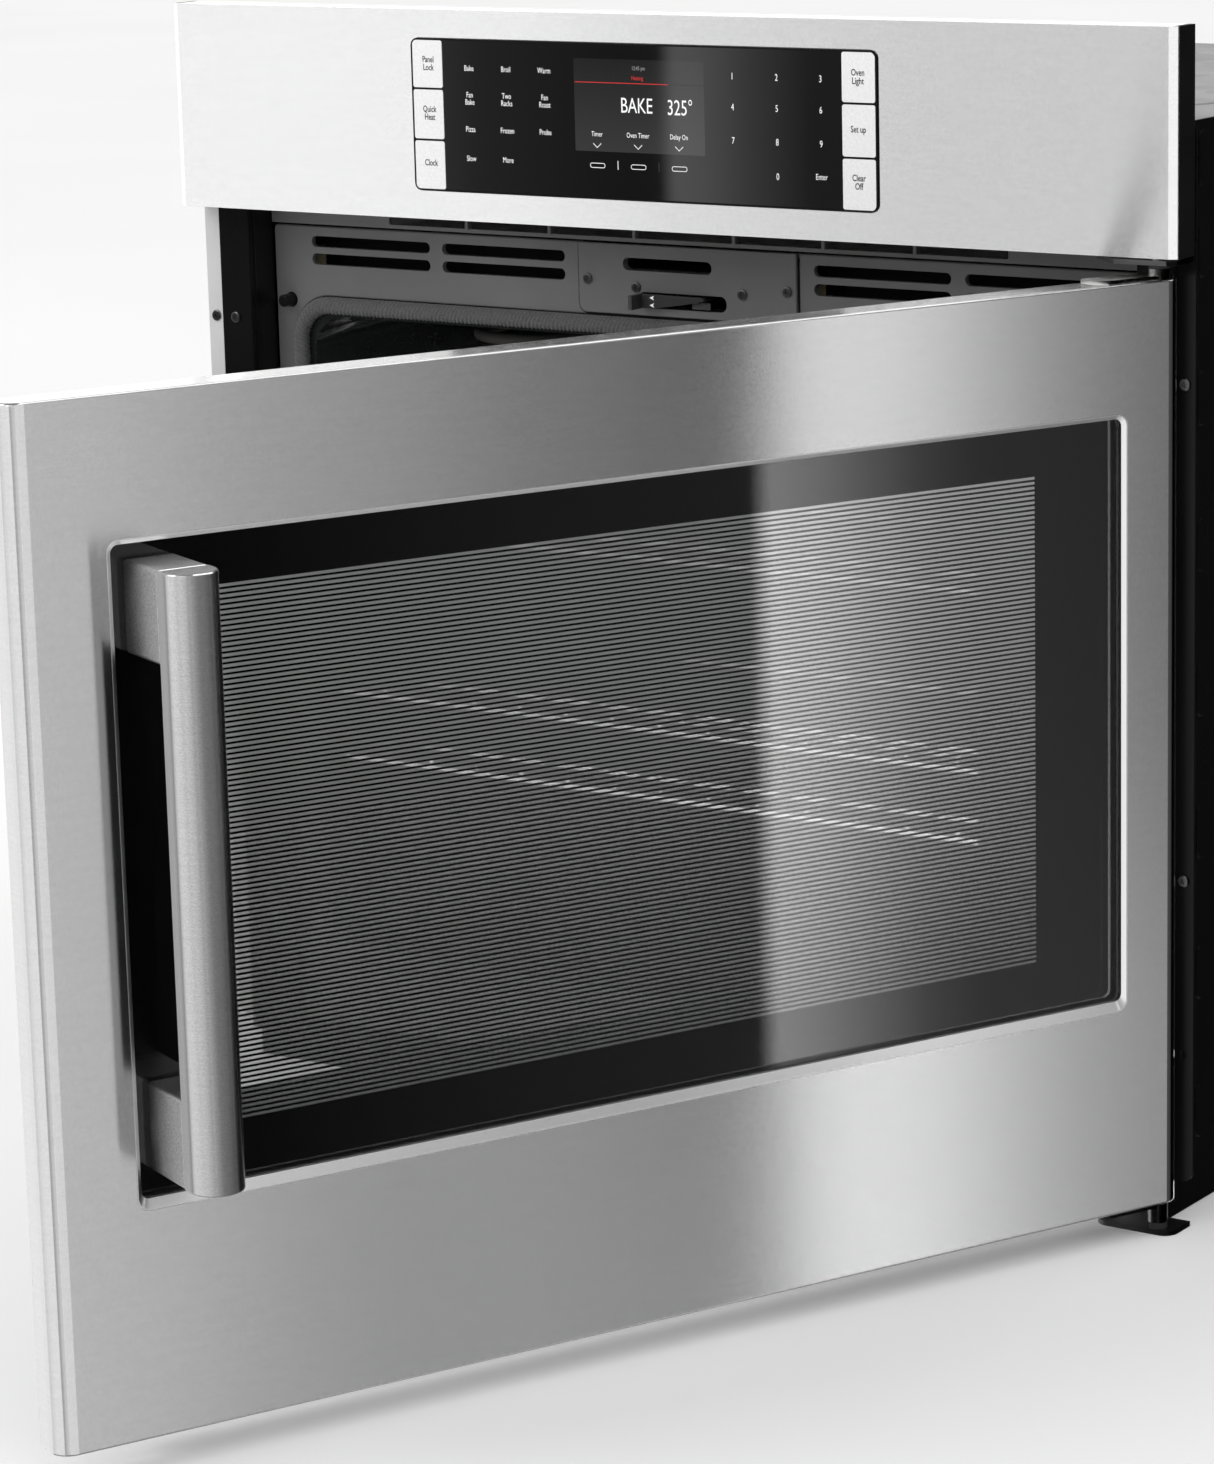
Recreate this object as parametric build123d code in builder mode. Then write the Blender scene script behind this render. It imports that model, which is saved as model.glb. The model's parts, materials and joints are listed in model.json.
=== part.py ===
from build123d import *
import os
from math import cos, radians, sin

# A 30 inch built-in single wall oven with a side-opening door.
# X runs to the viewer's right, Y from the front to the back, Z up.
# The origin is the centre of the base's underside, and the oven stands on Z = 0.
# Depths are measured backwards from the front face of the control panel.
# The door's pieces are drawn shut and then swung open about the hinge line.

os.makedirs("parts", exist_ok=True)

# ---------------------------------------------------------------- driving dimensions, mm
front = -304.0
oven_half_width = 377.8
oven_height = 738.0
sheet = 1.2

body_half_width = 358.8
body_back_depth = 580.0
body_top = 678.0
base_front_depth = 28.0
base_height = 18.0

panel_bottom = 602.5
door_bottom = 19.5
door_top = 590.0
door_skin_depth = 23.0
door_inner_half_width = 330.0
rest_open_angle = 65.5

hinge_x = 363.5
hinge_depth = 6.4
hinge_pin_radius = 3.0
running_clearance = 0.05

trim_inner_x = 339.0
trim_front_depth = 24.0
frame_depth = 50.5
frame_thickness = 4.0
frame_bottom = 24.0
frame_top = 586.4

gasket_half_width = 323.5
gasket_bottom = 70.0
gasket_top = 539.3
gasket_width = 12.2

cavity_half_width = 309.0
cavity_bottom = 84.4
cavity_top = 524.9
cavity_back_depth = 520.0
cavity_corner = 24.0
rack_levels = (158.0, 212.0, 258.0, 316.0, 374.0, 432.0)
rail_reach = 7.0
rail_height = 6.0

fan_height = 300.0

latch_height = 551.0
switch_x = -325.0
switch_height = 535.5

glass_left = -177.2
glass_right = 175.2
glass_low = 621.3
glass_high = 719.7
pad_width = 23.6

window_left = -324.0
window_right = 335.5
window_low = 148.5
window_high = 513.5

handle_x = -297.75
handle_width = 30.5
handle_low = 168.5
handle_high = 502.0
handle_back_depth = -36.0
handle_front_depth = -58.0
post_height = 50.0
screw_radius = 3.0
handle_screw_heights = (181.0, 206.0, 464.0, 489.0)


# ---------------------------------------------------------------- shared helpers
def y_at(depth):
    """The Y of a depth measured back from the control panel's front face."""
    return front + depth


def front_view(depth):
    """A plane facing the viewer: its x is X and its y is Z."""
    return Plane(origin=(0, y_at(depth), 0), x_dir=(1, 0, 0), z_dir=(0, -1, 0))


def block(x_range, depth_range, z_range, mode=Mode.ADD):
    """A box in the part being built, given by its ranges."""
    x_low, x_high = sorted(x_range)
    depth_low, depth_high = depth_range
    z_low, z_high = z_range
    with BuildSketch(Plane.XY.offset(z_low)) as outline:
        with Locations(((x_low + x_high) / 2, y_at((depth_low + depth_high) / 2))):
            Rectangle(x_high - x_low, depth_high - depth_low)
    extrude(outline.sketch, amount=z_high - z_low, mode=mode)


def front_block(x_range, depth_range, z_range, corner=0.0, mode=Mode.ADD):
    """A box whose front outline may have round corners."""
    depth_low, depth_high = depth_range
    x_low, x_high = sorted(x_range)
    z_low, z_high = z_range
    with BuildSketch(front_view(depth_low)) as outline:
        with Locations(((x_low + x_high) / 2, (z_low + z_high) / 2)):
            if corner > 0:
                RectangleRounded(x_high - x_low, z_high - z_low, corner)
            else:
                Rectangle(x_high - x_low, z_high - z_low)
    extrude(outline.sketch, amount=depth_low - depth_high, mode=mode)


def front_rod(x, z, depth_range, radius, mode=Mode.ADD):
    """A cylinder lying front to back."""
    depth_low, depth_high = depth_range
    with BuildSketch(front_view(depth_low)) as section:
        with Locations((x, z)):
            Circle(radius)
    extrude(section.sketch, amount=depth_low - depth_high, mode=mode)


def upright_rod(x, depth, z_range, radius, mode=Mode.ADD):
    """A standing cylinder."""
    z_low, z_high = z_range
    with BuildSketch(Plane.XY.offset(z_low)) as section:
        with Locations((x, y_at(depth))):
            Circle(radius)
    extrude(section.sketch, amount=z_high - z_low, mode=mode)


def write_piece(piece, node_name):
    """Writes a piece of the fixed body, or of a part that slides or spins in it."""
    piece.part.label = node_name
    export_step(piece.part, f"parts/{node_name}.step")


hinge_line = Axis(origin=(hinge_x, y_at(hinge_depth), 0), direction=(0, 0, 1))


def write_door_piece(piece, node_name):
    """Swings a door piece from shut to its resting angle, and writes it."""
    with BuildPart() as swung:
        add(piece.part.rotate(hinge_line, rest_open_angle))
    swung.part.label = node_name
    export_step(swung.part, f"parts/{node_name}.step")


sides = {"left": -1, "right": 1}

# ================================================================ casing
pan_half_width = body_half_width - sheet - 0.4

with BuildPart() as base_pan:
    block((-pan_half_width, pan_half_width), (base_front_depth, body_back_depth), (0, base_height))
    block(
        (-pan_half_width + 1.5, pan_half_width - 1.5),
        (base_front_depth + 1.5, body_back_depth - 1.5),
        (1.5, base_height),
        mode=Mode.SUBTRACT,
    )
    for rib_depth in (150, 300, 450):
        block((-300, 300), (rib_depth, rib_depth + 20), (1.5, 6))
write_piece(base_pan, "base_pan")

bead_depth = 70.0
bead_heights = (60, 150, 240, 330, 420, 510, 600, 655)
swage_depths = (170, 500)
swage_heights = (90, 600)


flange_outer_x = 377.9
flange_front_depth = 25.6
flange_back_depth = 27.1
flange_corner = 8.0
flange_hole_x = 371.0
flange_hole_heights = (110.0, 640.0)
flange_screw_heights = (220.0, 525.0)
cabinet_hole_radius = 2.5
screw_shank_radius = 1.95
screw_hole_radius = 2.0


def mounting_flange(side):
    """An angle down the body's front edge, with holes for the cabinet screws and for its own."""
    z_low, z_high = 28.0, 682.0
    with BuildSketch(front_view(flange_front_depth)) as outline:
        with Locations((side * (body_half_width + flange_outer_x) / 2, (z_low + z_high) / 2)):
            Rectangle(flange_outer_x - body_half_width, z_high - z_low)
        outer_corners = outline.vertices().group_by(Axis.X)[-1 if side > 0 else 0]
        fillet(outer_corners, radius=flange_corner)
        with Locations(*((side * flange_hole_x, height) for height in flange_hole_heights)):
            Circle(cabinet_hole_radius, mode=Mode.SUBTRACT)
        with Locations(*((side * flange_hole_x, height) for height in flange_screw_heights)):
            Circle(screw_hole_radius, mode=Mode.SUBTRACT)
    extrude(outline.sketch, amount=flange_front_depth - flange_back_depth)
    return_x = (side * body_half_width, side * (body_half_width + 1.5))
    block(return_x, (flange_back_depth, 50), (z_low, z_high))


def side_panel(side):
    """A side sheet with raised stiffening beads near its front edge and a raised field behind."""
    outer = Plane.YZ.offset(side * body_half_width)
    with BuildPart() as panel:
        block(
            (side * (body_half_width - sheet), side * body_half_width),
            (26, body_back_depth),
            (0.5, body_top),
        )
        with BuildSketch(outer):
            for height in bead_heights:
                with Locations((y_at(bead_depth), height)):
                    SlotOverall(34, 12, rotation=90)
            with Locations((y_at(sum(swage_depths) / 2), sum(swage_heights) / 2)):
                RectangleRounded(
                    swage_depths[1] - swage_depths[0], swage_heights[1] - swage_heights[0], 30
                )
        extrude(amount=side * 1.6)
        raised = panel.faces().sort_by(Axis.X)[-1 if side > 0 else 0]
        crests = panel.faces().filter_by(
            lambda face: abs(face.center().X - raised.center().X) < 0.01
        )
        fillet(crests.edges(), radius=1.2)
        if side > 0:
            mounting_flange(side)
    return panel


# The right flange is formed on the black side sheet; the left one is a pale sheet of its own.
for side_name, side in sides.items():
    write_piece(side_panel(side), f"{side_name}_side_panel")

with BuildPart() as left_mounting_flange:
    mounting_flange(sides["left"])
write_piece(left_mounting_flange, "left_mounting_flange")

with BuildPart() as back_panel:
    block((-pan_half_width, pan_half_width), (body_back_depth - 1.5, body_back_depth), (18.2, 676.3))
    with BuildSketch(front_view(body_back_depth - 2)):
        with GridLocations(60, 16, 8, 4):
            with Locations((0, 120)):
                SlotOverall(44, 6)
    extrude(amount=-4, mode=Mode.SUBTRACT)
    with BuildSketch(front_view(body_back_depth - 2)):
        with Locations((0, fan_height)):
            with PolarLocations(30, 12):
                SlotOverall(18, 5)
    extrude(amount=-4, mode=Mode.SUBTRACT)
write_piece(back_panel, "back_panel")

control_housing_half_width = 352.0
control_housing_back = 51.0

with BuildPart() as top_cover:
    block(
        (-pan_half_width, pan_half_width),
        (control_housing_back + 0.2, body_back_depth),
        (body_top - 1.5, body_top),
    )
    with BuildSketch(Plane.XY.offset(body_top)):
        for field_x in (-180, 180):
            with Locations((field_x, y_at(330))):
                RectangleRounded(280, 380, 25)
    extrude(amount=1.5)
    top_fields = top_cover.faces().filter_by(Axis.Z).group_by(Axis.Z)[-1]
    fillet(top_fields.edges(), radius=1.2)
write_piece(top_cover, "top_cover")

with BuildPart() as control_housing:
    half = control_housing_half_width
    block((-half, half), (24.0, control_housing_back), (606, 728))
    block(
        (-half + sheet, half - sheet),
        (24.0, control_housing_back - sheet),
        (606 + sheet, 728 - sheet),
        mode=Mode.SUBTRACT,
    )
    front_block((-60, 60), (40, 60), (700, 718), 4, mode=Mode.SUBTRACT)
write_piece(control_housing, "control_housing")

trim_screw_x = 353.0
trim_tops = {"left": 602.0, "right": 597.4}
trim_bead_depths = (28.2, 29.6)
baffle_front_depth = frame_depth + frame_thickness + 0.1
baffle_x = (92.0, 310.0)
baffle_heights = (557.0, 584.0)

# The black sheets round the opening: a trim on each side, and a baffle behind each group of vents.
with BuildPart() as front_trims:
    for side_name, side in sides.items():
        trim_z = (20, trim_tops[side_name])
        block((side * trim_inner_x, side * 364.5), (trim_front_depth, 25.4), trim_z)
        block((side * trim_inner_x, side * (trim_inner_x + sheet)), (25.4, 50.3), trim_z)
        block((side * (trim_inner_x - 0.7), side * trim_inner_x), trim_bead_depths, trim_z)
        for height in flange_screw_heights:
            front_rod(side * trim_screw_x, height, (23, 26), screw_hole_radius, mode=Mode.SUBTRACT)
    inner_corners = front_trims.edges().filter_by(Axis.Z).filter_by(
        lambda edge: abs(edge.center().Y - y_at(trim_front_depth)) < 0.01
        and abs(abs(edge.center().X) - trim_inner_x) < 0.01
    )
    fillet(inner_corners, radius=0.8)
    for side in sides.values():
        near_x, far_x = side * baffle_x[0], side * baffle_x[1]
        low, high = baffle_heights
        block((near_x, far_x), (baffle_front_depth, 72), (low, low + sheet))
        block((near_x, far_x), (72 - sheet, 72), (low + sheet, high))
write_piece(front_trims, "front_trims")

# ================================================================ cavity
vent_slots = ((205.9, 305.8), (95.9, 195.8))
vent_rows = ((560.4, 567.9), (572.4, 579.8))
cover_half_width = 84.0
cover_low = 540.8
groove_depth = frame_depth + 1.8

with BuildPart() as front_frame:
    front_block(
        (-trim_inner_x + 0.9, trim_inner_x - 0.9),
        (frame_depth, frame_depth + frame_thickness),
        (frame_bottom, frame_top),
        3,
    )
    front_block(
        (-gasket_half_width, gasket_half_width),
        (frame_depth - 1, frame_depth + frame_thickness + 1),
        (gasket_bottom, gasket_top),
        31,
        mode=Mode.SUBTRACT,
    )
    for side in sides.values():
        for slot_low, slot_high in vent_slots:
            slot_x = sorted((side * slot_low, side * slot_high))
            for row in vent_rows:
                front_block(slot_x, (49, 56), row, 3.6, mode=Mode.SUBTRACT)
    front_block((-38, 32), (49, 56), (544.5, 557.5), 2, mode=Mode.SUBTRACT)
    front_block((-48.6, 20), (49, 56), (569.7, 577.9), 4, mode=Mode.SUBTRACT)
    front_rod(switch_x, switch_height, (49, 56), 5.0, mode=Mode.SUBTRACT)
    rim = front_frame.edges().filter_by(GeomType.LINE).group_by(Axis.Y)[0]
    opening_edges = rim.filter_by(lambda edge: edge.length > 380)
    chamfer(opening_edges, length=0.8)
    half, low = cover_half_width, cover_low
    for groove_side in sides.values():
        groove_x = (groove_side * (half - 0.6), groove_side * (half + 1.4))
        block(groove_x, (frame_depth - 1, groove_depth), (low + 6, frame_top + 1), mode=Mode.SUBTRACT)
    with BuildSketch(front_view(frame_depth - 1)) as groove:
        with Locations((0, (low + frame_top) / 2)):
            RectangleRounded(2 * half + 2.8, frame_top - low + 2.8, 7.4)
            RectangleRounded(2 * half - 1.2, frame_top - low - 1.2, 5.4, mode=Mode.SUBTRACT)
        with Locations((0, frame_top)):
            Rectangle(2 * half + 4, 40, mode=Mode.SUBTRACT)
    extrude(groove.sketch, amount=frame_depth - 1 - groove_depth, mode=Mode.SUBTRACT)
write_piece(front_frame, "front_frame")

lamp_depths = (405.0, 455.0)
lamp_heights = (445.0, 495.0)
liner_flange_depth = frame_depth + frame_thickness + 0.1

with BuildPart() as cavity_liner:
    front_block(
        (-331, 331), (liner_flange_depth, liner_flange_depth + sheet), (62, 543), 20
    )
    front_block(
        (-cavity_half_width - sheet, cavity_half_width + sheet),
        (liner_flange_depth, cavity_back_depth + sheet),
        (cavity_bottom - sheet, cavity_top + sheet),
        cavity_corner + sheet,
    )
    front_block(
        (-cavity_half_width, cavity_half_width),
        (liner_flange_depth - 1, cavity_back_depth),
        (cavity_bottom, cavity_top),
        cavity_corner,
        mode=Mode.SUBTRACT,
    )
    for side in sides.values():
        wall = Plane.YZ.offset(side * (cavity_half_width + 0.1))
        with BuildSketch(wall):
            for level in rack_levels:
                with Locations((y_at(275), level - rail_height / 2)):
                    SlotOverall(410, rail_height)
        extrude(amount=-side * (rail_reach + 0.1))
        block(
            (side * (cavity_half_width - 1), side * (cavity_half_width + 2)),
            (lamp_depths[0] + 6, lamp_depths[1] - 6),
            (lamp_heights[0] + 6, lamp_heights[1] - 6),
            mode=Mode.SUBTRACT,
        )
    front_rod(0, fan_height, (515, 525), 6.0, mode=Mode.SUBTRACT)
    front_rod(switch_x, switch_height, (54, 57), 6.5, mode=Mode.SUBTRACT)
write_piece(cavity_liner, "cavity_liner")

with BuildPart() as oven_gasket:
    gasket_depths = (45.3, liner_flange_depth)
    front_block(
        (-gasket_half_width + 0.2, gasket_half_width - 0.2),
        gasket_depths,
        (gasket_bottom + 0.2, gasket_top - 0.2),
        30.8,
    )
    front_block(
        (-gasket_half_width + gasket_width, gasket_half_width - gasket_width),
        (40, 60),
        (gasket_bottom + gasket_width, gasket_top - gasket_width),
        19,
        mode=Mode.SUBTRACT,
    )
    long_edges = oven_gasket.edges().filter_by(Plane.XZ)
    fillet(long_edges, radius=4.2)
write_piece(oven_gasket, "oven_gasket")

lamp_body_x = (cavity_half_width + sheet + 0.2, 334.0)

with BuildPart() as insulation_blanket:
    block((-340, 340), (56.4, 547), (46, 566))
    block((-316, 316), (56, 526), (66, 532), mode=Mode.SUBTRACT)
    block((-80, 80), (56, 130), (531, 567), mode=Mode.SUBTRACT)
    block((-341, -312), (56, 96), (520, 550), mode=Mode.SUBTRACT)
    block((-230, 230), (56, 75), (531, 567), mode=Mode.SUBTRACT)
    block((-341, 341), (56, 73), (556, 567), mode=Mode.SUBTRACT)
    for side in sides.values():
        block((side * 315, side * 338), (400, 460), (440, 500), mode=Mode.SUBTRACT)
    front_rod(0, fan_height, (520, 550), 12, mode=Mode.SUBTRACT)
write_piece(insulation_blanket, "insulation_blanket")


def serpentine(height, half_span, depth_low, depth_high, legs, radius):
    """A tubular heating element: parallel legs joined by round bends, with both ends at the back."""
    pitch = 2 * half_span / (legs - 1)
    points = []
    for leg in range(legs):
        x = -half_span + leg * pitch
        ends = (depth_high, depth_low) if leg % 2 == 0 else (depth_low, depth_high)
        for depth in ends:
            points.append((x, y_at(depth), height))
    points[0] = (points[0][0], y_at(cavity_back_depth - 0.5), height)
    points[-1] = (points[-1][0], y_at(cavity_back_depth - 0.5), height)
    with BuildPart() as element:
        with BuildLine() as route:
            FilletPolyline(*points, radius=pitch / 2 - 1)
        with BuildSketch(Plane(origin=route.line @ 0, z_dir=route.line % 0)):
            Circle(radius)
        sweep()
    return element


write_piece(serpentine(75.0, 220.0, 110.0, 440.0, 6, 3.3), "bake_element")
write_piece(serpentine(510.0, 225.0, 100.0, 440.0, 6, 4.0), "broil_element")

ring_element_radius = 112.0
ring_tube_radius = 3.4

with BuildPart() as convection_element:
    ring_plane = Plane(origin=(0, y_at(500), fan_height), x_dir=(1, 0, 0), z_dir=(0, -1, 0))
    with BuildLine(ring_plane) as ring_route:
        CenterArc((0, 0), ring_element_radius, -80, 340)
    with BuildSketch(Plane(origin=ring_route.line @ 0, z_dir=ring_route.line % 0)):
        Circle(ring_tube_radius)
    sweep()
    for end_angle in (-80, 260):
        end_x = ring_element_radius * cos(radians(end_angle))
        end_z = fan_height + ring_element_radius * sin(radians(end_angle))
        front_rod(end_x, end_z, (497, cavity_back_depth - 0.2), ring_tube_radius)
write_piece(convection_element, "convection_element")

with BuildPart() as fan_cover:
    front_block((-175, 175), (478, cavity_back_depth - 0.1), (150, 450), 40)
    front_block(
        (-175 + sheet, 175 - sheet),
        (478 + sheet, cavity_back_depth + 1),
        (150 + sheet, 450 - sheet),
        40 - sheet,
        mode=Mode.SUBTRACT,
    )
    with BuildSketch(front_view(477)):
        for ring_radius, count in ((16, 6), (32, 12), (48, 18), (64, 24)):
            with Locations((0, fan_height)):
                with PolarLocations(ring_radius, count):
                    Circle(4.2)
        for slot_x in (-145, 145):
            with GridLocations(18, 24, 2, 9):
                with Locations((slot_x, fan_height)):
                    SlotOverall(14, 5)
    extrude(amount=-4, mode=Mode.SUBTRACT)
    cover_rim = fan_cover.faces().sort_by(Axis.Y)[0].outer_wire().edges()
    fillet(cover_rim, radius=1.0)
write_piece(fan_cover, "fan_cover")

fan_shaft_radius = 4.0

with BuildPart() as convection_fan:
    front_rod(0, fan_height, (488, 513), 14)
    front_rod(0, fan_height, (511.5, 513), 88)
    front_rod(0, fan_height, (513, 570), fan_shaft_radius)
    with BuildSketch(front_view(491)):
        with Locations((0, fan_height)):
            with PolarLocations(56, 12):
                Rectangle(58, 1.4, rotation=28)
    extrude(amount=-21)
write_piece(convection_fan, "convection_fan")

with BuildPart() as convection_motor:
    front_block((-60, 60), (547.2, 548.8), (fan_height - 60, fan_height + 60), 8)
    front_rod(0, fan_height, (548.8, 577), 38)
    front_rod(0, fan_height, (540, 580), fan_shaft_radius + running_clearance, mode=Mode.SUBTRACT)
write_piece(convection_motor, "convection_motor")

with BuildPart() as oven_lamps:
    for side in sides.values():
        inner_x, outer_x = lamp_body_x
        block((side * inner_x, side * outer_x), lamp_depths, lamp_heights)
        block(
            (side * (inner_x - 1), side * (outer_x - 2)),
            (lamp_depths[0] + 3, lamp_depths[1] - 3),
            (lamp_heights[0] + 3, lamp_heights[1] - 3),
            mode=Mode.SUBTRACT,
        )
        with BuildSketch(Plane.YZ.offset(side * (outer_x - 2))):
            with Locations((y_at(430), 470)):
                Circle(8)
        extrude(amount=-side * 16)
write_piece(oven_lamps, "oven_lamps")

with BuildPart() as lamp_lenses:
    for side in sides.values():
        with BuildSketch(Plane.YZ.offset(side * (cavity_half_width - 0.1))):
            with Locations((y_at(430), 470)):
                RectangleRounded(56, 56, 8)
        extrude(amount=-side * 4)
write_piece(lamp_lenses, "lamp_lenses")

with BuildPart() as temperature_sensor:
    front_block((-244, -216), (518.5, 519.9), (483, 497), 4)
    front_rod(-230, 490, (430, 518.5), 2.6)
    probe_tip = temperature_sensor.faces().sort_by(Axis.Y)[0].edges()
    fillet(probe_tip, radius=2.0)
write_piece(temperature_sensor, "temperature_sensor")


def oven_rack(level):
    """A wire rack on the rails of one level: a frame, cross bars and close-set wires."""
    frame_wire = 3.0
    grid_wire = 1.8
    z = level + frame_wire + 0.4
    near, far = 64.0, 464.0
    half = 304.5
    with BuildPart() as rack:
        for x in (-half, half):
            front_rod(x, z, (near, far), frame_wire)
        for depth in (near, near + 48, (near + far) / 2, far):
            with BuildSketch(Plane.YZ.offset(-half)):
                with Locations((y_at(depth), z)):
                    Circle(frame_wire)
            extrude(amount=2 * half)
        for corner_x in (-half, half):
            for depth in (near, far):
                with Locations((corner_x, y_at(depth), z)):
                    Sphere(frame_wire)
        wire_count = 15
        pitch = 2 * half / (wire_count + 1)
        for index in range(wire_count):
            x = -half + (index + 1) * pitch
            front_rod(x, z + frame_wire + 0.6, (near - 1, far + 1), grid_wire)
    return rack


write_piece(oven_rack(rack_levels[1]), "lower_rack")
write_piece(oven_rack(rack_levels[2]), "middle_rack")
write_piece(oven_rack(rack_levels[4]), "upper_rack")

# ================================================================ latch and switch
cover_screws = ((-76.5, 562.8), (-38.4, 558.9), (43.3, 558.3), (77.1, 561.9))

with BuildPart() as latch_cover_plate:
    front_block((-cover_half_width, cover_half_width), (48.4, frame_depth), (cover_low, 596.0), 6)
    block((-90, 90), (40, 60), (frame_top, 600), mode=Mode.SUBTRACT)
    front_block((-48.6, 20), (46, 52), (569.7, 577.9), 4, mode=Mode.SUBTRACT)
    front_block((-37, 31), (46, 52), (546, 556.2), 4.5, mode=Mode.SUBTRACT)
    for screw_x, screw_z in cover_screws:
        front_rod(screw_x, screw_z, (46, 52), 2.0, mode=Mode.SUBTRACT)
    plate_rim = latch_cover_plate.faces().sort_by(Axis.Y)[0].outer_wire().edges()
    chamfer(plate_rim, length=0.6)
write_piece(latch_cover_plate, "latch_cover_plate")

with BuildPart() as latch_hook:
    with BuildSketch(front_view(43.6)):
        with BuildLine():
            Polyline(
                (-34.0, latch_height - 4.6),
                (-34.0, latch_height + 4.6),
                (15.0, latch_height + 4.2),
                (17.0, latch_height + 2.2),
                (2.0, latch_height - 0.8),
                (-20.0, latch_height - 4.0),
                close=True,
            )
        make_face()
    extrude(amount=-2.4)
    block((-34.0, -31.2), (32.0, 43.6), (latch_height - 4.6, latch_height + 4.6))
    block((-10.0, 12.0), (46.0, 66.0), (latch_height, latch_height + 3.6))
write_piece(latch_hook, "latch_hook")

with BuildPart() as latch_motor:
    block((-70, 70), (58, 120), (538, 570))
    block((-40, 40), (57, 80), (latch_height - 4.5, latch_height + 4.5), mode=Mode.SUBTRACT)
    upright_rod(30, 95, (570, 583), 18)
write_piece(latch_motor, "latch_motor")

plunger_radius = 4.2

with BuildPart() as door_switch:
    block((-334, -316), (57.5, 88), (527, 544))
    front_rod(switch_x, switch_height, (56, 80), plunger_radius + 0.3, mode=Mode.SUBTRACT)
write_piece(door_switch, "door_switch")

with BuildPart() as door_switch_plunger:
    front_rod(switch_x, switch_height, (40.4, 72), plunger_radius)
    plunger_tip = door_switch_plunger.faces().sort_by(Axis.Y)[0].edges()
    fillet(plunger_tip, radius=1.2)
write_piece(door_switch_plunger, "door_switch_plunger")

# ================================================================ cooling air
outlet_half_width = 237.5
outlet_ribs = (38.3, 105.2, 172.2)

with BuildPart() as cooling_outlet_grille:
    front_block((-trim_inner_x + 0.9, trim_inner_x - 0.9), (48.5, 50.5), (588, 605.5), 1)
    front_block((-outlet_half_width, outlet_half_width), (46, 52), (590.6, 603.5), 1, mode=Mode.SUBTRACT)
    for rib_x in outlet_ribs:
        for side in sides.values():
            block((side * rib_x - 1.2, side * rib_x + 1.2), (46.5, 51.9), (590.6, 603.5))
write_piece(cooling_outlet_grille, "cooling_outlet_grille")

duct_half_width = 242.0
duct_back = 320.0
throat_half_width = 60.0

with BuildPart() as air_duct:
    block((-duct_half_width, duct_half_width), (52.0, duct_back), (587.5, 641))
    block(
        (-duct_half_width + 1, duct_half_width - 1),
        (51.0, duct_back - 1),
        (588.5, 640),
        mode=Mode.SUBTRACT,
    )
    block(
        (-throat_half_width, throat_half_width),
        (duct_back - 2, duct_back + 2),
        (592, 636),
        mode=Mode.SUBTRACT,
    )
write_piece(air_duct, "air_duct")

blower_depth = 420.0
blower_radius = 92.0

with BuildPart() as blower_housing:
    upright_rod(0, blower_depth, (587.5, 640), blower_radius)
    block(
        (-throat_half_width - 1, throat_half_width + 1),
        (duct_back + 0.2, blower_depth),
        (591, 637),
    )
    upright_rod(0, blower_depth, (588.5, 639), blower_radius - 1.2, mode=Mode.SUBTRACT)
    block(
        (-throat_half_width, throat_half_width),
        (duct_back - 1, blower_depth),
        (592, 636),
        mode=Mode.SUBTRACT,
    )
    upright_rod(0, blower_depth, (580, 589), 52, mode=Mode.SUBTRACT)
    upright_rod(0, blower_depth, (638, 641), 6, mode=Mode.SUBTRACT)
write_piece(blower_housing, "blower_housing")

with BuildPart() as blower_wheel:
    upright_rod(0, blower_depth, (630, 632), 74)
    with BuildSketch(Plane.XY.offset(592)):
        with Locations((0, y_at(blower_depth))):
            with PolarLocations(68, 30):
                Rectangle(11, 1.4, rotation=40)
    extrude(amount=38)
    with BuildSketch(Plane.XY.offset(592)):
        with Locations((0, y_at(blower_depth))):
            Circle(74)
            Circle(62, mode=Mode.SUBTRACT)
    extrude(amount=2)
    upright_rod(0, blower_depth, (620, 660), fan_shaft_radius)
    upright_rod(0, blower_depth, (618, 630), 12)
write_piece(blower_wheel, "blower_wheel")

with BuildPart() as blower_motor:
    upright_rod(0, blower_depth, (642, 672), 36)
    upright_rod(0, blower_depth, (640.2, 642), 48)
    upright_rod(0, blower_depth, (640, 661), fan_shaft_radius + running_clearance, mode=Mode.SUBTRACT)
write_piece(blower_motor, "blower_motor")

# ================================================================ electrics
with BuildPart() as control_boards:
    front_block((-160, 160), (34, 35.6), (615, 722), 2)
    for chip_x in (-120, -80, 60, 110):
        front_block((chip_x - 12, chip_x + 12), (35.6, 43.6), (640, 660), 1)
    front_block((-40, 20), (35.6, 46.6), (670, 710), 2)
    for socket_x in (-140, -100, 100, 135):
        front_block((socket_x - 14, socket_x + 14), (35.6, 42.6), (622, 630))
    block((130, 290), (360, 520), (592, 593.6))
    for relay_x in (150, 178, 206, 234, 262):
        for relay_depth in (390, 430):
            block((relay_x - 10, relay_x + 10), (relay_depth - 14, relay_depth + 14), (593.6, 615))
    block((150, 210), (460, 505), (593.6, 632))
write_piece(control_boards, "control_boards")

with BuildPart() as junction_box:
    block((160, 300), (body_back_depth, 606), (500, 600))
    block((161.2, 298.8), (body_back_depth - 1, 604.8), (501.2, 598.8), mode=Mode.SUBTRACT)
    with BuildSketch(Plane.YZ.offset(158)):
        with Locations((y_at(593), 550)):
            Circle(9)
    extrude(amount=4, mode=Mode.SUBTRACT)
write_piece(junction_box, "junction_box")

gland_bore = 6.5

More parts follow.
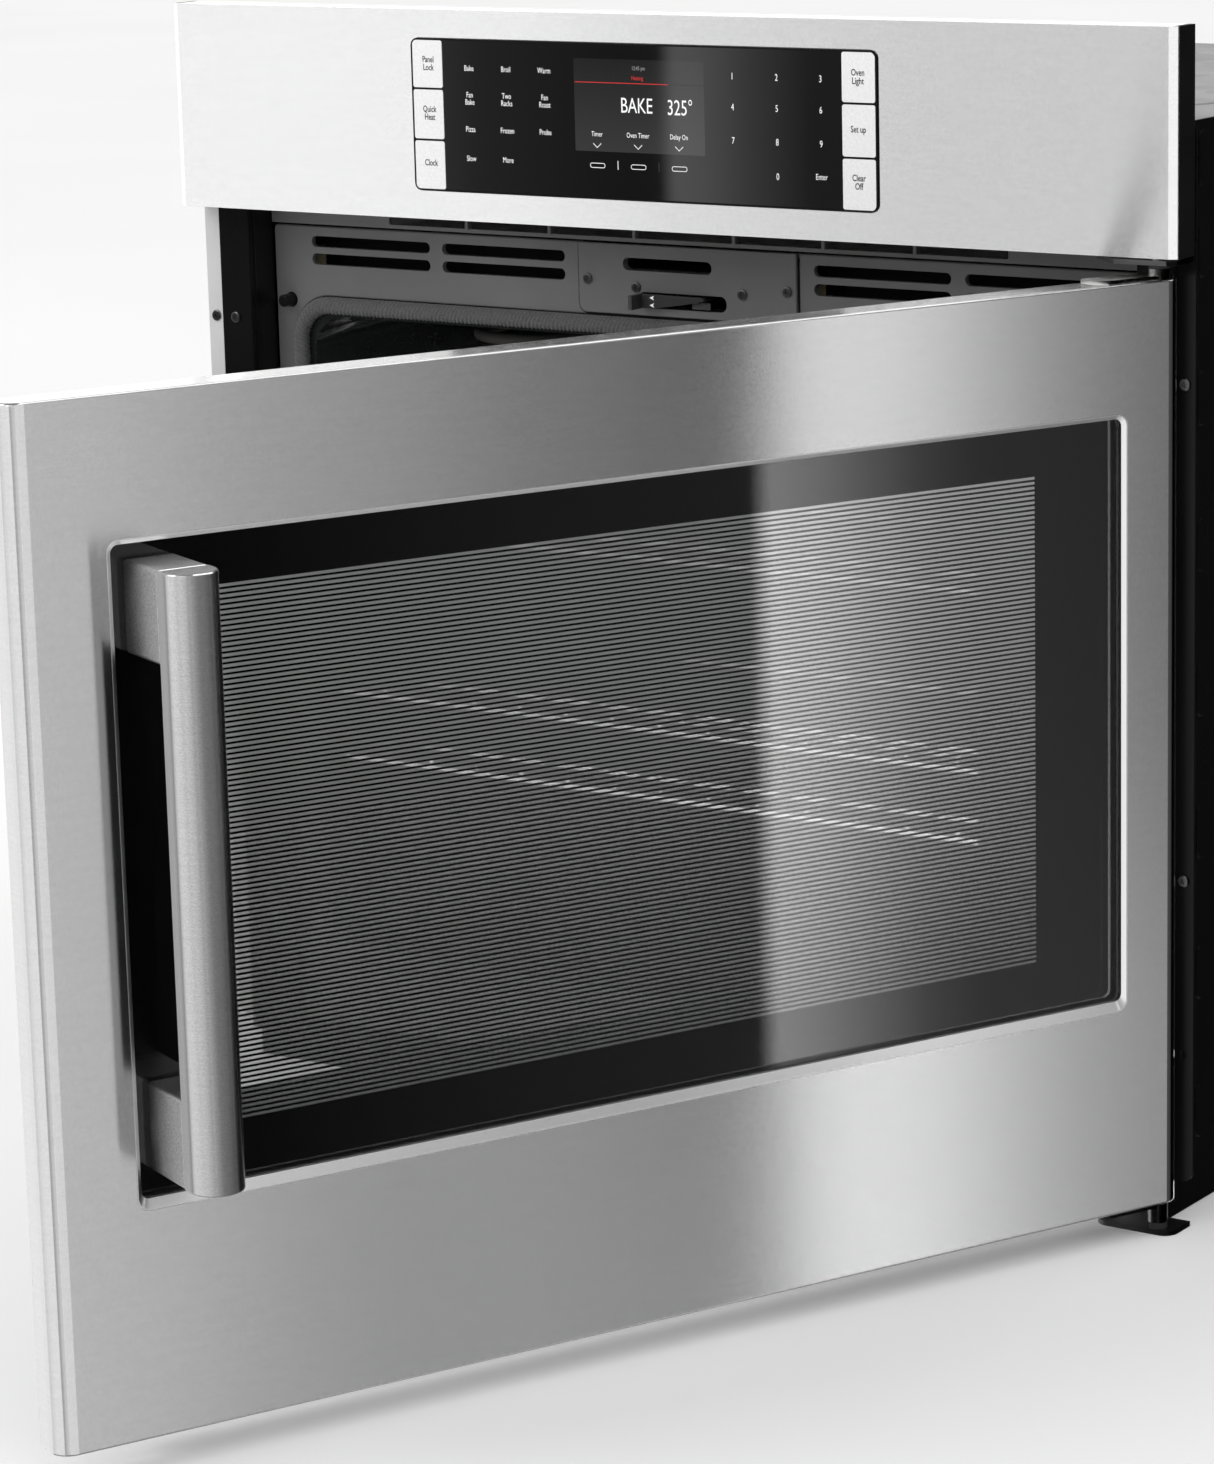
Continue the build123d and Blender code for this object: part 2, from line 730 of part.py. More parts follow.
with BuildPart() as conduit_gland:
    gland_axis = (y_at(593), 550)
    with BuildSketch(Plane.YZ.offset(136)):
        with Locations(gland_axis):
            Circle(9)
    extrude(amount=30)
    with BuildSketch(Plane.YZ.offset(150)):
        with Locations(gland_axis):
            RegularPolygon(12.6, 6)
    extrude(amount=10)
    with BuildSketch(Plane.YZ.offset(161.2)):
        with Locations(gland_axis):
            RegularPolygon(11.6, 6)
    extrude(amount=4)
    with BuildSketch(Plane.YZ.offset(135)):
        with Locations(gland_axis):
            Circle(gland_bore)
    extrude(amount=32, mode=Mode.SUBTRACT)
write_piece(conduit_gland, "conduit_gland")

# ================================================================ control panel
end_cap_thickness = 3.8

with BuildPart() as control_fascia:
    front_block((-oven_half_width, oven_half_width), (0, 3.2), (panel_bottom, oven_height))
    end_edges = control_fascia.edges().filter_by(Axis.Z).group_by(Axis.Y)[0]
    front_face = control_fascia.faces().sort_by(Axis.Y)[0]
    chamfer(end_edges, length=5.0, length2=2.4, reference=front_face)
    front_block((-371, 371), (1.2, 4), (panel_bottom + 1.2, oven_height - 1.2), mode=Mode.SUBTRACT)
    return_half_width = oven_half_width - end_cap_thickness - 0.1
    for z_low in (panel_bottom, oven_height - 1.2):
        block((-return_half_width, return_half_width), (3.2, 22), (z_low, z_low + 1.2))
    front_block(
        (glass_left - 0.2, glass_right + 0.2),
        (-1, 4),
        (glass_low - 0.2, glass_high + 0.2),
        6.2,
        mode=Mode.SUBTRACT,
    )
write_piece(control_fascia, "control_fascia")

with BuildPart() as panel_end_caps:
    for side in sides.values():
        block(
            (side * (oven_half_width - end_cap_thickness), side * oven_half_width),
            (3.3, 23.5),
            (panel_bottom, oven_height),
        )
write_piece(panel_end_caps, "panel_end_caps")

with BuildPart() as control_glass:
    front_block((glass_left, glass_right), (-0.8, 2.0), (glass_low, glass_high), 6)
    glass_rim = control_glass.faces().sort_by(Axis.Y)[0].outer_wire().edges()
    fillet(glass_rim, radius=0.5)
write_piece(control_glass, "control_glass")

pad_rows = ((622.6, 653.6), (655.0, 686.6), (688.0, 718.4))

with BuildPart() as touch_pads:
    for pad_left in (glass_left + 1.3, glass_right - 1.3 - pad_width):
        for row in pad_rows:
            front_block((pad_left, pad_left + pad_width), (-1.2, -0.8), row, 1.5)
write_piece(touch_pads, "touch_pads")

with BuildPart() as display_module:
    front_block((-52, 50), (2.1, 9), (649, 712), 2)
write_piece(display_module, "display_module")

# ================================================================ hinge hardware on the body
hinge_centre = (hinge_x, y_at(hinge_depth))
upper_bracket_z = (598.4, 601.4)

with BuildPart() as hinge_brackets:
    with BuildSketch(Plane.XY.offset(upper_bracket_z[0])):
        with BuildLine():
            Polyline(
                (311, y_at(25)),
                (322, y_at(12)),
                (336, y_at(0.8)),
                (371, y_at(0.8)),
                (376, y_at(5)),
                (376, y_at(25.3)),
                (356.8, y_at(25.3)),
                (356.8, y_at(46)),
                (326, y_at(46)),
                close=True,
            )
        make_face()
        with Locations(hinge_centre):
            Circle(hinge_pin_radius, mode=Mode.SUBTRACT)
        with Locations((324, y_at(22))):
            Circle(2.2, mode=Mode.SUBTRACT)
    extrude(amount=upper_bracket_z[1] - upper_bracket_z[0])
    with BuildSketch(Plane.XY) as plate_outline:
        with Locations((349, y_at(12.9))):
            Rectangle(54, 25.8)
        front_corners = plate_outline.vertices().group_by(Axis.Y)[0]
        fillet(front_corners, radius=9)
        with Locations(hinge_centre):
            Circle(hinge_pin_radius, mode=Mode.SUBTRACT)
    extrude(amount=3.2)
    block((324, 356), (24.6, 27.6), (3.2, 17))
write_piece(hinge_brackets, "hinge_brackets")

with BuildPart() as hinge_pins:
    upright_rod(hinge_x, hinge_depth, (590.7, upper_bracket_z[1]), hinge_pin_radius)
    upright_rod(hinge_x, hinge_depth, (upper_bracket_z[1], 602.3), 4.6)
    upright_rod(hinge_x, hinge_depth, (0.4, 18.8), hinge_pin_radius)
write_piece(hinge_pins, "hinge_pins")

with BuildPart() as hinge_bushes:
    for washer_z in ((3.2, 7.4), (596.6, 598.3)):
        upright_rod(hinge_x, hinge_depth, washer_z, 6.2)
        upright_rod(hinge_x, hinge_depth, washer_z, hinge_pin_radius, mode=Mode.SUBTRACT)
write_piece(hinge_bushes, "hinge_bushes")

recess_arm = 3.4
recess_width = 0.8
recess_depth = 0.9


def pan_screw(x, z, seat, reach, head_radius, head_height):
    """A pan head screw lying front to back: a round-edged head with a cross recess, and a shank."""
    with BuildPart() as screw:
        front_rod(x, z, (seat - head_height, seat), head_radius)
        head_edge = screw.faces().sort_by(Axis.Y)[0].edges()
        fillet(head_edge, radius=0.9)
        with BuildSketch(front_view(seat - head_height)) as recess:
            with Locations((x, z)):
                Rectangle(recess_arm, recess_width, rotation=20)
                Rectangle(recess_arm, recess_width, rotation=110)
        extrude(recess.sketch, amount=-recess_depth, mode=Mode.SUBTRACT)
        front_rod(x, z, (seat, reach), screw_shank_radius)
    return screw.part


screws = []
for side in sides.values():
    for height in flange_screw_heights:
        screws.append(pan_screw(side * flange_hole_x, height, flange_front_depth, 33.0, 3.8, 1.4))
        screws.append(pan_screw(side * trim_screw_x, height, trim_front_depth, 33.0, 3.8, 1.4))
for screw_x, screw_z in cover_screws:
    screws.append(pan_screw(screw_x, screw_z, 48.4, 50.4, 3.6, 1.5))

with BuildPart() as body_screws:
    for screw in screws:
        add(screw)
write_piece(body_screws, "body_screws")

# ================================================================ door, drawn shut
nose_corner = 12.0
nose_cut_depth = 15.5

with BuildPart() as door_skin:
    front_block((-oven_half_width, oven_half_width), (0, door_skin_depth), (door_bottom, door_top))
    upright_edges = door_skin.edges().filter_by(Axis.Z).group_by(Axis.Y)[0]
    fillet(upright_edges, radius=nose_corner)
    front_outline = door_skin.faces().sort_by(Axis.Y)[0].outer_wire().edges()
    long_front_edges = front_outline.filter_by(Axis.X)
    fillet(long_front_edges, radius=1.6)
    inner_half = oven_half_width - sheet
    with BuildSketch(Plane.XY.offset(door_bottom + sheet)):
        with BuildLine():
            left_x, right_x = -inner_half, inner_half
            near_y, far_y = y_at(sheet), y_at(door_skin_depth + 1)
            inner_radius = nose_corner - sheet
            Line((left_x, far_y), (left_x, near_y + inner_radius))
            RadiusArc((left_x, near_y + inner_radius), (left_x + inner_radius, near_y), -inner_radius)
            Line((left_x + inner_radius, near_y), (right_x - inner_radius, near_y))
            RadiusArc((right_x - inner_radius, near_y), (right_x, near_y + inner_radius), -inner_radius)
            Line((right_x, near_y + inner_radius), (right_x, far_y))
            Line((right_x, far_y), (left_x, far_y))
        make_face()
    extrude(amount=door_top - door_bottom - 2 * sheet, mode=Mode.SUBTRACT)
    with BuildSketch(Plane.XY.offset(door_bottom - 1)):
        with BuildLine():
            Polyline(
                (oven_half_width + 1, y_at(nose_cut_depth)),
                (oven_half_width - 0.2, y_at(nose_cut_depth)),
                (366.0, y_at(door_skin_depth)),
                (366.0, y_at(door_skin_depth + 2)),
                (oven_half_width + 1, y_at(door_skin_depth + 2)),
                close=True,
            )
        make_face()
    extrude(amount=door_top - door_bottom + 2, mode=Mode.SUBTRACT)
    front_block((window_left, window_right), (-1, 3), (window_low, window_high), 7, mode=Mode.SUBTRACT)
write_door_piece(door_skin, "door_skin")

trim_back_depth = 3.9
bevel_depth = 1.4
trim_insets = {"left": 2.8, "right": 3.6, "low": 6.4, "high": 2.8}
lip = 0.4


def window_outline(left, right, low, high, corner):
    """A rounded outline inside the window opening, given by its insets from each side."""
    width = window_right - right - window_left - left
    height = window_high - high - window_low - low
    centre = (window_left + left + width / 2, window_low + low + height / 2)
    with Locations(centre):
        RectangleRounded(width, height, corner)


# A narrow lip, a shallow bevel sloping inwards, and a straight wall down to the glass.
with BuildPart() as window_trim:
    front_block((window_left, window_right), (0.1, trim_back_depth), (window_low, window_high), 7)
    with BuildSketch(front_view(0.0)):
        window_outline(lip, lip, lip, lip, 6.6)
    with BuildSketch(front_view(bevel_depth)):
        window_outline(*trim_insets.values(), 4.6)
    loft(mode=Mode.SUBTRACT)
    with BuildSketch(front_view(bevel_depth - 0.1)) as window_clearance:
        window_outline(*trim_insets.values(), 4.6)
    extrude(window_clearance.sketch, amount=bevel_depth - trim_back_depth - 1, mode=Mode.SUBTRACT)
write_door_piece(window_trim, "window_trim")

with BuildPart() as outer_door_glass:
    front_block((-346, 350), (4.0, 8.0), (128, 532), 4)
    for height in handle_screw_heights:
        front_rod(handle_x, height, (3, 9), screw_radius + 0.2, mode=Mode.SUBTRACT)
write_door_piece(outer_door_glass, "outer_door_glass")

with BuildPart() as middle_door_glass:
    front_block((-297, 297), (20, 23.2), (152, 508), 4)
write_door_piece(middle_door_glass, "middle_door_glass")

inner_window = ((-262, 262), (190, 482))

with BuildPart() as inner_door_glass:
    front_block((-278, 278), (46.2, 49.4), (176, 496), 4)
write_door_piece(inner_door_glass, "inner_door_glass")

with BuildPart() as glass_retainers:
    for clip_side in (-1, 1):
        for clip_z in (180, 330, 480):
            inner_x, outer_x = (-341, -356) if clip_side < 0 else (345, 360)
            leg_x = outer_x - clip_side * 5
            block((inner_x, outer_x), (8.1, 9.6), (clip_z - 10, clip_z + 10))
            block((leg_x, outer_x), (1.3, 8.1), (clip_z - 10, clip_z + 10))
write_door_piece(glass_retainers, "glass_retainers")

chassis_outer = ((-331.0, 331.0), (31.0, 579.0))
chassis_inner = ((-299.0, 299.0), (148.0, 512.0))
latch_pocket_x = (-46, 40)
latch_pocket_z = (538, 564)

with BuildPart() as door_chassis:
    front_block(chassis_outer[0], (12, 39.4), chassis_outer[1], 4)
    front_block((-329.8, 329.8), (11, 38.2), (32.2, 577.8), 3, mode=Mode.SUBTRACT)
    front_block((-300.2, 300.2), (12, 39.4), (146.8, 513.2), 4)
    front_block(chassis_inner[0], (11, 40), chassis_inner[1], 3, mode=Mode.SUBTRACT)
    front_block((-42, 30), (30, 42), (543, 560), 2, mode=Mode.SUBTRACT)
write_door_piece(door_chassis, "door_chassis")

with BuildPart() as door_insulation:
    front_block((-329.4, 329.4), (14, 38.0), (32.6, 577.4), 3)
    front_block((-300.6, 300.6), (13, 39), (146.4, 513.6), 4, mode=Mode.SUBTRACT)
    front_block((-64, 56), (13, 39), (530, 572), 2, mode=Mode.SUBTRACT)
write_door_piece(door_insulation, "door_insulation")

plug_ranges = ((-296, 296), (100, 512))

with BuildPart() as door_liner:
    front_block((-door_inner_half_width, door_inner_half_width), (39.6, 44.6), (30, 580), 12)
    front_block(plug_ranges[0], (44.6, 51.0), plug_ranges[1], 22)
    plug_rim = door_liner.faces().sort_by(Axis.Y)[-1].outer_wire().edges()
    fillet(plug_rim, radius=3.0)
    front_block((-328.6, 328.6), (39, 43.2), (31.4, 578.6), 11, mode=Mode.SUBTRACT)
    front_block((-294.6, 294.6), (39, 49.6), (101.4, 510.6), 20.6, mode=Mode.SUBTRACT)
    front_block(inner_window[0], (39, 52), inner_window[1], 18, mode=Mode.SUBTRACT)
    front_block((-42, 30), (38, 46), (543, 560), 2, mode=Mode.SUBTRACT)
    front_rod(switch_x, switch_height, (38, 46), 7.0, mode=Mode.SUBTRACT)
    for hole_z in (60, 560):
        with BuildSketch(front_view(42)):
            with GridLocations(40, 1, 5, 1):
                with Locations((-180, hole_z), (180, hole_z)):
                    SlotOverall(26, 6)
        extrude(amount=-4, mode=Mode.SUBTRACT)
write_door_piece(door_liner, "door_liner")

with BuildPart() as latch_strike:
    front_block(latch_pocket_x, (36.6, 38.2), latch_pocket_z, 3)
    front_block((-38, 22), (36, 39), (544.5, 557.5), 2, mode=Mode.SUBTRACT)
write_door_piece(latch_strike, "latch_strike")

post_ranges = ((handle_low, handle_low + post_height), (handle_high - post_height, handle_high))
post_x = (handle_x - handle_width / 2, handle_x + handle_width / 2)

with BuildPart() as handle_posts:
    for post_z in post_ranges:
        front_block(post_x, (handle_back_depth, 4.0), post_z)
    long_post_edges = handle_posts.edges().filter_by(Axis.Y)
    fillet(long_post_edges, radius=2.5)
    bar_ends = handle_posts.faces().filter_by(Axis.Y).group_by(Axis.Y)[0].edges()
    chamfer(bar_ends, length=0.7)
    for height in handle_screw_heights:
        front_rod(handle_x, height, (-11, 5), screw_radius, mode=Mode.SUBTRACT)
write_door_piece(handle_posts, "handle_posts")

flat_side = 5.0

with BuildPart() as handle_bar:
    with BuildSketch(Plane.XY.offset(handle_low)):
        with BuildLine():
            left_x, right_x = post_x
            back_y = y_at(handle_back_depth)
            side_y = y_at(handle_back_depth - flat_side)
            Line((left_x, side_y), (left_x, back_y))
            Line((left_x, back_y), (right_x, back_y))
            Line((right_x, back_y), (right_x, side_y))
            ThreePointArc((right_x, side_y), (handle_x, y_at(handle_front_depth)), (left_x, side_y))
        make_face()
    extrude(amount=handle_high - handle_low)
    end_rims = handle_bar.faces().filter_by(Axis.Z).edges()
    fillet(end_rims, radius=1.2)
write_door_piece(handle_bar, "handle_bar")

with BuildPart() as handle_screws:
    for height in handle_screw_heights:
        front_rod(handle_x, height, (8.05, 11.4), 5.5)
        front_rod(handle_x, height, (-9, 8.05), screw_radius)
write_door_piece(handle_screws, "handle_screws")

knuckle_radius = 6.4


def hinge_arm(plate_z, knuckle_z):
    """A zinc-plated arm: a plate on the door's edge and a knuckle that turns on the pin."""
    with BuildSketch(Plane.XY.offset(plate_z[0])) as plate:
        with BuildLine():
            Polyline(
                (317, y_at(10)),
                (324, y_at(2.5)),
                (356, y_at(2.5)),
                (363, y_at(0.6)),
                (369, y_at(6.4)),
                (366, y_at(17)),
                (330, y_at(21)),
                (317, y_at(21)),
                close=True,
            )
        make_face()
    extrude(plate.sketch, amount=plate_z[1] - plate_z[0])
    upright_rod(hinge_x, hinge_depth, knuckle_z, knuckle_radius)
    bore_radius = hinge_pin_radius + running_clearance
    whole_z = (min(plate_z[0], knuckle_z[0]) - 1, max(plate_z[1], knuckle_z[1]) + 1)
    upright_rod(hinge_x, hinge_depth, whole_z, bore_radius, mode=Mode.SUBTRACT)


with BuildPart() as door_hinge_arms:
    hinge_arm((door_top, door_top + 2.6), (door_top, 596.4))
    hinge_arm((door_bottom - 2.6, door_bottom), (7.6, door_bottom))
write_door_piece(door_hinge_arms, "door_hinge_arms")
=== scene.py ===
"""The looks of a built-in wall oven with its side-opening door ajar.

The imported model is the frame. X is the viewer's right, Y the back, Z up, in metres, with the oven's
underside on Z = 0. Depths run back from the control panel's front face. The door stands open at rest:
its own pieces are laid out with the door shut and then swung to that angle.
"""

import json
from math import cos, pi, radians, sin

import bmesh
import bpy
from mathutils import Matrix, Vector


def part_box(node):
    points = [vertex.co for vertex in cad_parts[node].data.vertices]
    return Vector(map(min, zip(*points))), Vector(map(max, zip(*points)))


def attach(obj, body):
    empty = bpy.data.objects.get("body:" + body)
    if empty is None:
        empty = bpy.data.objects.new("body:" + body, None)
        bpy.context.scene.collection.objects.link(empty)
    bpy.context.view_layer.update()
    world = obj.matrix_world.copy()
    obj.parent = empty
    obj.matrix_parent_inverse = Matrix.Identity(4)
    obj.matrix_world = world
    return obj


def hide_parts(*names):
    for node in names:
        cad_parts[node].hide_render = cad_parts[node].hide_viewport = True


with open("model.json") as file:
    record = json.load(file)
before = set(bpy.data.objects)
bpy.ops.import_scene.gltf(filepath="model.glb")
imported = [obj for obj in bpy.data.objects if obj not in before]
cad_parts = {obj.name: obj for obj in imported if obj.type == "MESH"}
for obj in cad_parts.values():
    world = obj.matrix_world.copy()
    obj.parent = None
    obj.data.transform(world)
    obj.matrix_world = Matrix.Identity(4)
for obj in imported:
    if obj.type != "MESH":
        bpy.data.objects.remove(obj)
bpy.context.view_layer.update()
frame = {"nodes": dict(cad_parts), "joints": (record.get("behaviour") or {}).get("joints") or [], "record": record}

MM = 0.001
nodes = frame["nodes"]

# ---------------------------------------------------------------- places taken from the frame
panel_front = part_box("control_fascia")[0].y
door_joint = next(joint for joint in frame["joints"] if joint["name"] == "door_hinge")
rest_angle = -radians(door_joint["range_deg"][0])
hinge_point = Vector(door_joint["pos_m"])
door_swing = (
    Matrix.Translation(hinge_point) @ Matrix.Rotation(rest_angle, 4, "Z") @ Matrix.Translation(-hinge_point)
)
door_unswing = door_swing.inverted()


def y_at(depth):
    """The Y of a depth in metres behind the control panel's front face."""
    return panel_front + depth


def shut_box(node_name):
    """A door node's lowest and highest corners with the door shut."""
    points = [door_unswing @ vertex.co for vertex in nodes[node_name].data.vertices]
    lowest = Vector([min(point[axis] for point in points) for axis in range(3)])
    highest = Vector([max(point[axis] for point in points) for axis in range(3)])
    return lowest, highest


# ---------------------------------------------------------------- material helpers
class Recipe:
    """A material under construction: its node tree, its Principled shader and short ways to add nodes."""

    def __init__(self, name, **sockets):
        self.material = bpy.data.materials.new(name)
        self.material.use_nodes = True
        self.tree = self.material.node_tree
        self.shader = self.tree.nodes["Principled BSDF"]
        self.output = self.tree.nodes["Material Output"]
        for socket, value in sockets.items():
            self.shader.inputs[socket.replace("_", " ")].default_value = value

    def add(self, kind, **settings):
        """A new node of a kind, with its settings."""
        node = self.tree.nodes.new("ShaderNode" + kind)
        for setting, value in settings.items():
            setattr(node, setting, value)
        return node

    def link(self, source, target):
        self.tree.links.new(source, target)

    def drive(self, socket, source):
        """Links a source to one of the shader's sockets."""
        self.link(source, self.shader.inputs[socket])

    def place(self, scale, turn=0.0):
        """Object coordinates turned about Z and then stretched."""
        where = self.add("TexCoord").outputs["Object"]
        if turn:
            turned = self.add("VectorRotate", rotation_type="Z_AXIS")
            turned.inputs["Angle"].default_value = turn
            self.link(where, turned.inputs["Vector"])
            where = turned.outputs["Vector"]
        stretched = self.add("Mapping")
        stretched.inputs["Scale"].default_value = scale
        self.link(where, stretched.inputs["Vector"])
        return stretched.outputs["Vector"]

    def noise(self, where, scale=1.0, detail=2.0, roughness=0.5):
        """Soft noise from 0 to 1, sampled at stretched coordinates."""
        node = self.add("TexNoise")
        node.inputs["Scale"].default_value = scale
        node.inputs["Detail"].default_value = detail
        node.inputs["Roughness"].default_value = roughness
        self.link(where, node.inputs["Vector"])
        return node.outputs["Fac"]

    def cells(self, where, scale, output="Distance", feature="F1"):
        """Scattered cells, read by one of their outputs."""
        node = self.add("TexVoronoi", feature=feature)
        node.inputs["Scale"].default_value = scale
        self.link(where, node.inputs["Vector"])
        return node.outputs[output]

    def spread(self, source, low, high, start=0.0, end=1.0):
        """A value mapped from start..end to low..high."""
        node = self.add("MapRange")
        node.inputs["From Min"].default_value = start
        node.inputs["From Max"].default_value = end
        node.inputs["To Min"].default_value = low
        node.inputs["To Max"].default_value = high
        self.link(source, node.inputs["Value"])
        return node.outputs["Result"]

    def blend(self, source, first, second, start=0.0, end=1.0):
        """A colour between two, by a value that runs from start to end."""
        node = self.add("ValToRGB")
        low, high = node.color_ramp.elements
        low.position = start
        high.position = end
        low.color = (*first, 1)
        high.color = (*second, 1)
        self.link(source, node.inputs["Fac"])
        return node.outputs["Color"]

    def math(self, operation, first, second):
        node = self.add("Math", operation=operation)
        for value, socket in ((first, node.inputs[0]), (second, node.inputs[1])):
            if isinstance(value, (int, float)):
                socket.default_value = value
            else:
                self.link(value, socket)
        return node.outputs["Value"]

    def bump(self, height, strength, distance, normal=None):
        node = self.add("Bump")
        node.inputs["Strength"].default_value = strength
        node.inputs["Distance"].default_value = distance
        self.link(height, node.inputs["Height"])
        if normal is not None:
            self.link(normal, node.inputs["Normal"])
        return node.outputs["Normal"]

    def soft_edges(self, radius):
        """Normals that round off sharp sheet edges."""
        node = self.add("Bevel", samples=4)
        node.inputs["Radius"].default_value = radius
        return node.outputs["Normal"]


def gray(value):
    """An even grey, as three equal parts."""
    return (value, value, value)


def brushed_steel(name, turn=0.0, tone=0.62, roughness=0.13, grain=0.05):
    """Stainless steel brushed from side to side, with short streaks, a fine grain and faint smudges."""
    recipe = Recipe(name, Metallic=1.0, Anisotropic=1.0)
    streak_scale, fine_scale, smudge_scale = (60, 60, 1500), (850, 850, 1900), (5, 5, 4)
    streaks = recipe.noise(recipe.place(streak_scale, turn), 1.0, 3.0, 0.7)
    fine = recipe.noise(recipe.place(fine_scale, turn), 1.0, 2.0, 0.7)
    smudge = recipe.noise(recipe.place(smudge_scale, turn), 1.0, 3.0, 0.5)
    grained = recipe.math("ADD", recipe.math("MULTIPLY", streaks, 0.3), recipe.math("MULTIPLY", fine, 0.7))
    tone_swing_per_grain = 2.6
    swing = tone_swing_per_grain * grain
    shade = recipe.blend(grained, gray(tone * (1 - swing)), gray(min(0.98, tone * (1 + swing))), 0.32, 0.68)
    recipe.drive("Base Color", shade)
    rough = recipe.math("ADD", recipe.spread(smudge, -0.012, 0.02, 0.3, 0.7), roughness)
    recipe.drive("Roughness", recipe.math("ADD", rough, recipe.spread(grained, -0.02, 0.02, 0.3, 0.7)))
    recipe.drive("Normal", recipe.bump(grained, 0.05, 0.0002, recipe.soft_edges(0.0004)))
    upward = recipe.add("CombineXYZ")
    upward.inputs["Z"].default_value = 1.0
    recipe.drive("Tangent", upward.outputs["Vector"])
    return recipe.material


def satin_metal(name, tone=0.6):
    """Cast metal, bead blasted and satin plated."""
    recipe = Recipe(name, Metallic=1.0)
    grit = recipe.noise(recipe.place(gray(1000)), 1.0, 3.0, 0.7)
    cloud = recipe.noise(recipe.place(gray(30)), 1.0, 2.0, 0.5)
    recipe.drive("Base Color", recipe.blend(grit, gray(tone * 0.72), gray(min(1, tone * 1.2)), 0.35, 0.65))
    recipe.drive("Roughness", recipe.spread(cloud, 0.34, 0.44, 0.3, 0.7))
    recipe.drive("Normal", recipe.bump(grit, 0.25, 0.0002, recipe.soft_edges(0.0008)))
    return recipe.material


def enamel(name, tone, roughness, fleck=0.0, coat=0.0, tint=(1, 1, 1), shine=0.5):
    """Fired or powder-coated paint with a faint orange peel, and flecks if it is cavity enamel."""
    recipe = Recipe(name, Coat_Weight=coat, Coat_Roughness=0.08, Specular_IOR_Level=shine)
    cloud = recipe.noise(recipe.place(gray(9)), 1.0, 3.0, 0.5)
    peel = recipe.noise(recipe.place(gray(420)), 1.0, 2.0, 0.5)
    low = tuple(tone * 0.88 * part for part in tint)
    high = tuple(tone * 1.12 * part for part in tint)
    colour = recipe.blend(cloud, low, high, 0.3, 0.7)
    if fleck:
        dots_per_metre = 380.0
        dots = recipe.cells(recipe.place(gray(1.0)), dots_per_metre)
        speck = recipe.blend(dots, gray(1.0), gray(0.0), 0.10, 0.17)
        mixed = recipe.add("Mix", data_type="RGBA")
        for socket in mixed.inputs:
            if socket.identifier == "B_Color":
                socket.default_value = (fleck, fleck, fleck * 1.05, 1)
            if socket.identifier == "A_Color":
                recipe.link(colour, socket)
            if socket.identifier == "Factor_Float":
                recipe.link(speck, socket)
        colour = next(out for out in mixed.outputs if out.identifier == "Result_Color")
    recipe.drive("Base Color", colour)
    recipe.drive("Roughness", recipe.spread(cloud, roughness * 0.85, roughness * 1.15, 0.3, 0.7))
    recipe.drive("Normal", recipe.bump(peel, 0.12, 0.0003, recipe.soft_edges(0.0006)))
    return recipe.material


def galvanised_sheet(name, tone=0.55):
    """Zinc-coated sheet with its spangle."""
    recipe = Recipe(name, Metallic=0.35)
    spangles_per_metre = 60.0
    spangle = recipe.cells(recipe.place(gray(1.0)), spangles_per_metre, "Color")
    value = recipe.add("SeparateColor")
    recipe.link(spangle, value.inputs["Color"])
    patch = value.outputs["Red"]
    cloud = recipe.noise(recipe.place(gray(6)), 1.0, 4.0, 0.6)
    both = recipe.math("ADD", recipe.math("MULTIPLY", patch, 0.5), recipe.math("MULTIPLY", cloud, 0.5))
    recipe.drive("Base Color", recipe.blend(both, gray(tone * 0.9), gray(tone * 1.06), 0.25, 0.75))
    recipe.drive("Roughness", recipe.spread(patch, 0.34, 0.5))
    grain = recipe.noise(recipe.place(gray(700)), 1.0, 2.0, 0.6)
    recipe.drive("Normal", recipe.bump(grain, 0.08, 0.0003, recipe.soft_edges(0.0005)))
    return recipe.material


def plated_steel(name, tone, roughness, grain_scale=900.0):
    """Small bright parts: zinc plate, chrome wire, screws."""
    recipe = Recipe(name, Metallic=1.0)
    grain = recipe.noise(recipe.place(gray(grain_scale)), 1.0, 3.0, 0.6)
    cloud = recipe.noise(recipe.place(gray(22)), 1.0, 3.0, 0.5)
    low = tuple(part * 0.82 for part in tone)
    recipe.drive("Base Color", recipe.blend(cloud, low, tone, 0.3, 0.65))
    recipe.drive("Roughness", recipe.spread(cloud, roughness * 0.75, roughness * 1.25, 0.3, 0.7))
    recipe.drive("Normal", recipe.bump(grain, 0.07, 0.0002))
    return recipe.material


def black_glass(name, tone=0.004, roughness=0.025):
    """Glossy black glass with faint dust and smears."""
    recipe = Recipe(name, IOR=1.52)
    smear = recipe.noise(recipe.place(gray(11)), 1.0, 4.0, 0.6)
    dust = recipe.cells(recipe.place(gray(1.0)), 330.0)
    speck = recipe.blend(dust, gray(0.05), gray(tone), 0.035, 0.06)
    recipe.drive("Base Color", speck)
    recipe.drive("Roughness", recipe.spread(smear, roughness * 0.6, roughness * 1.6, 0.3, 0.7))
    return recipe.material


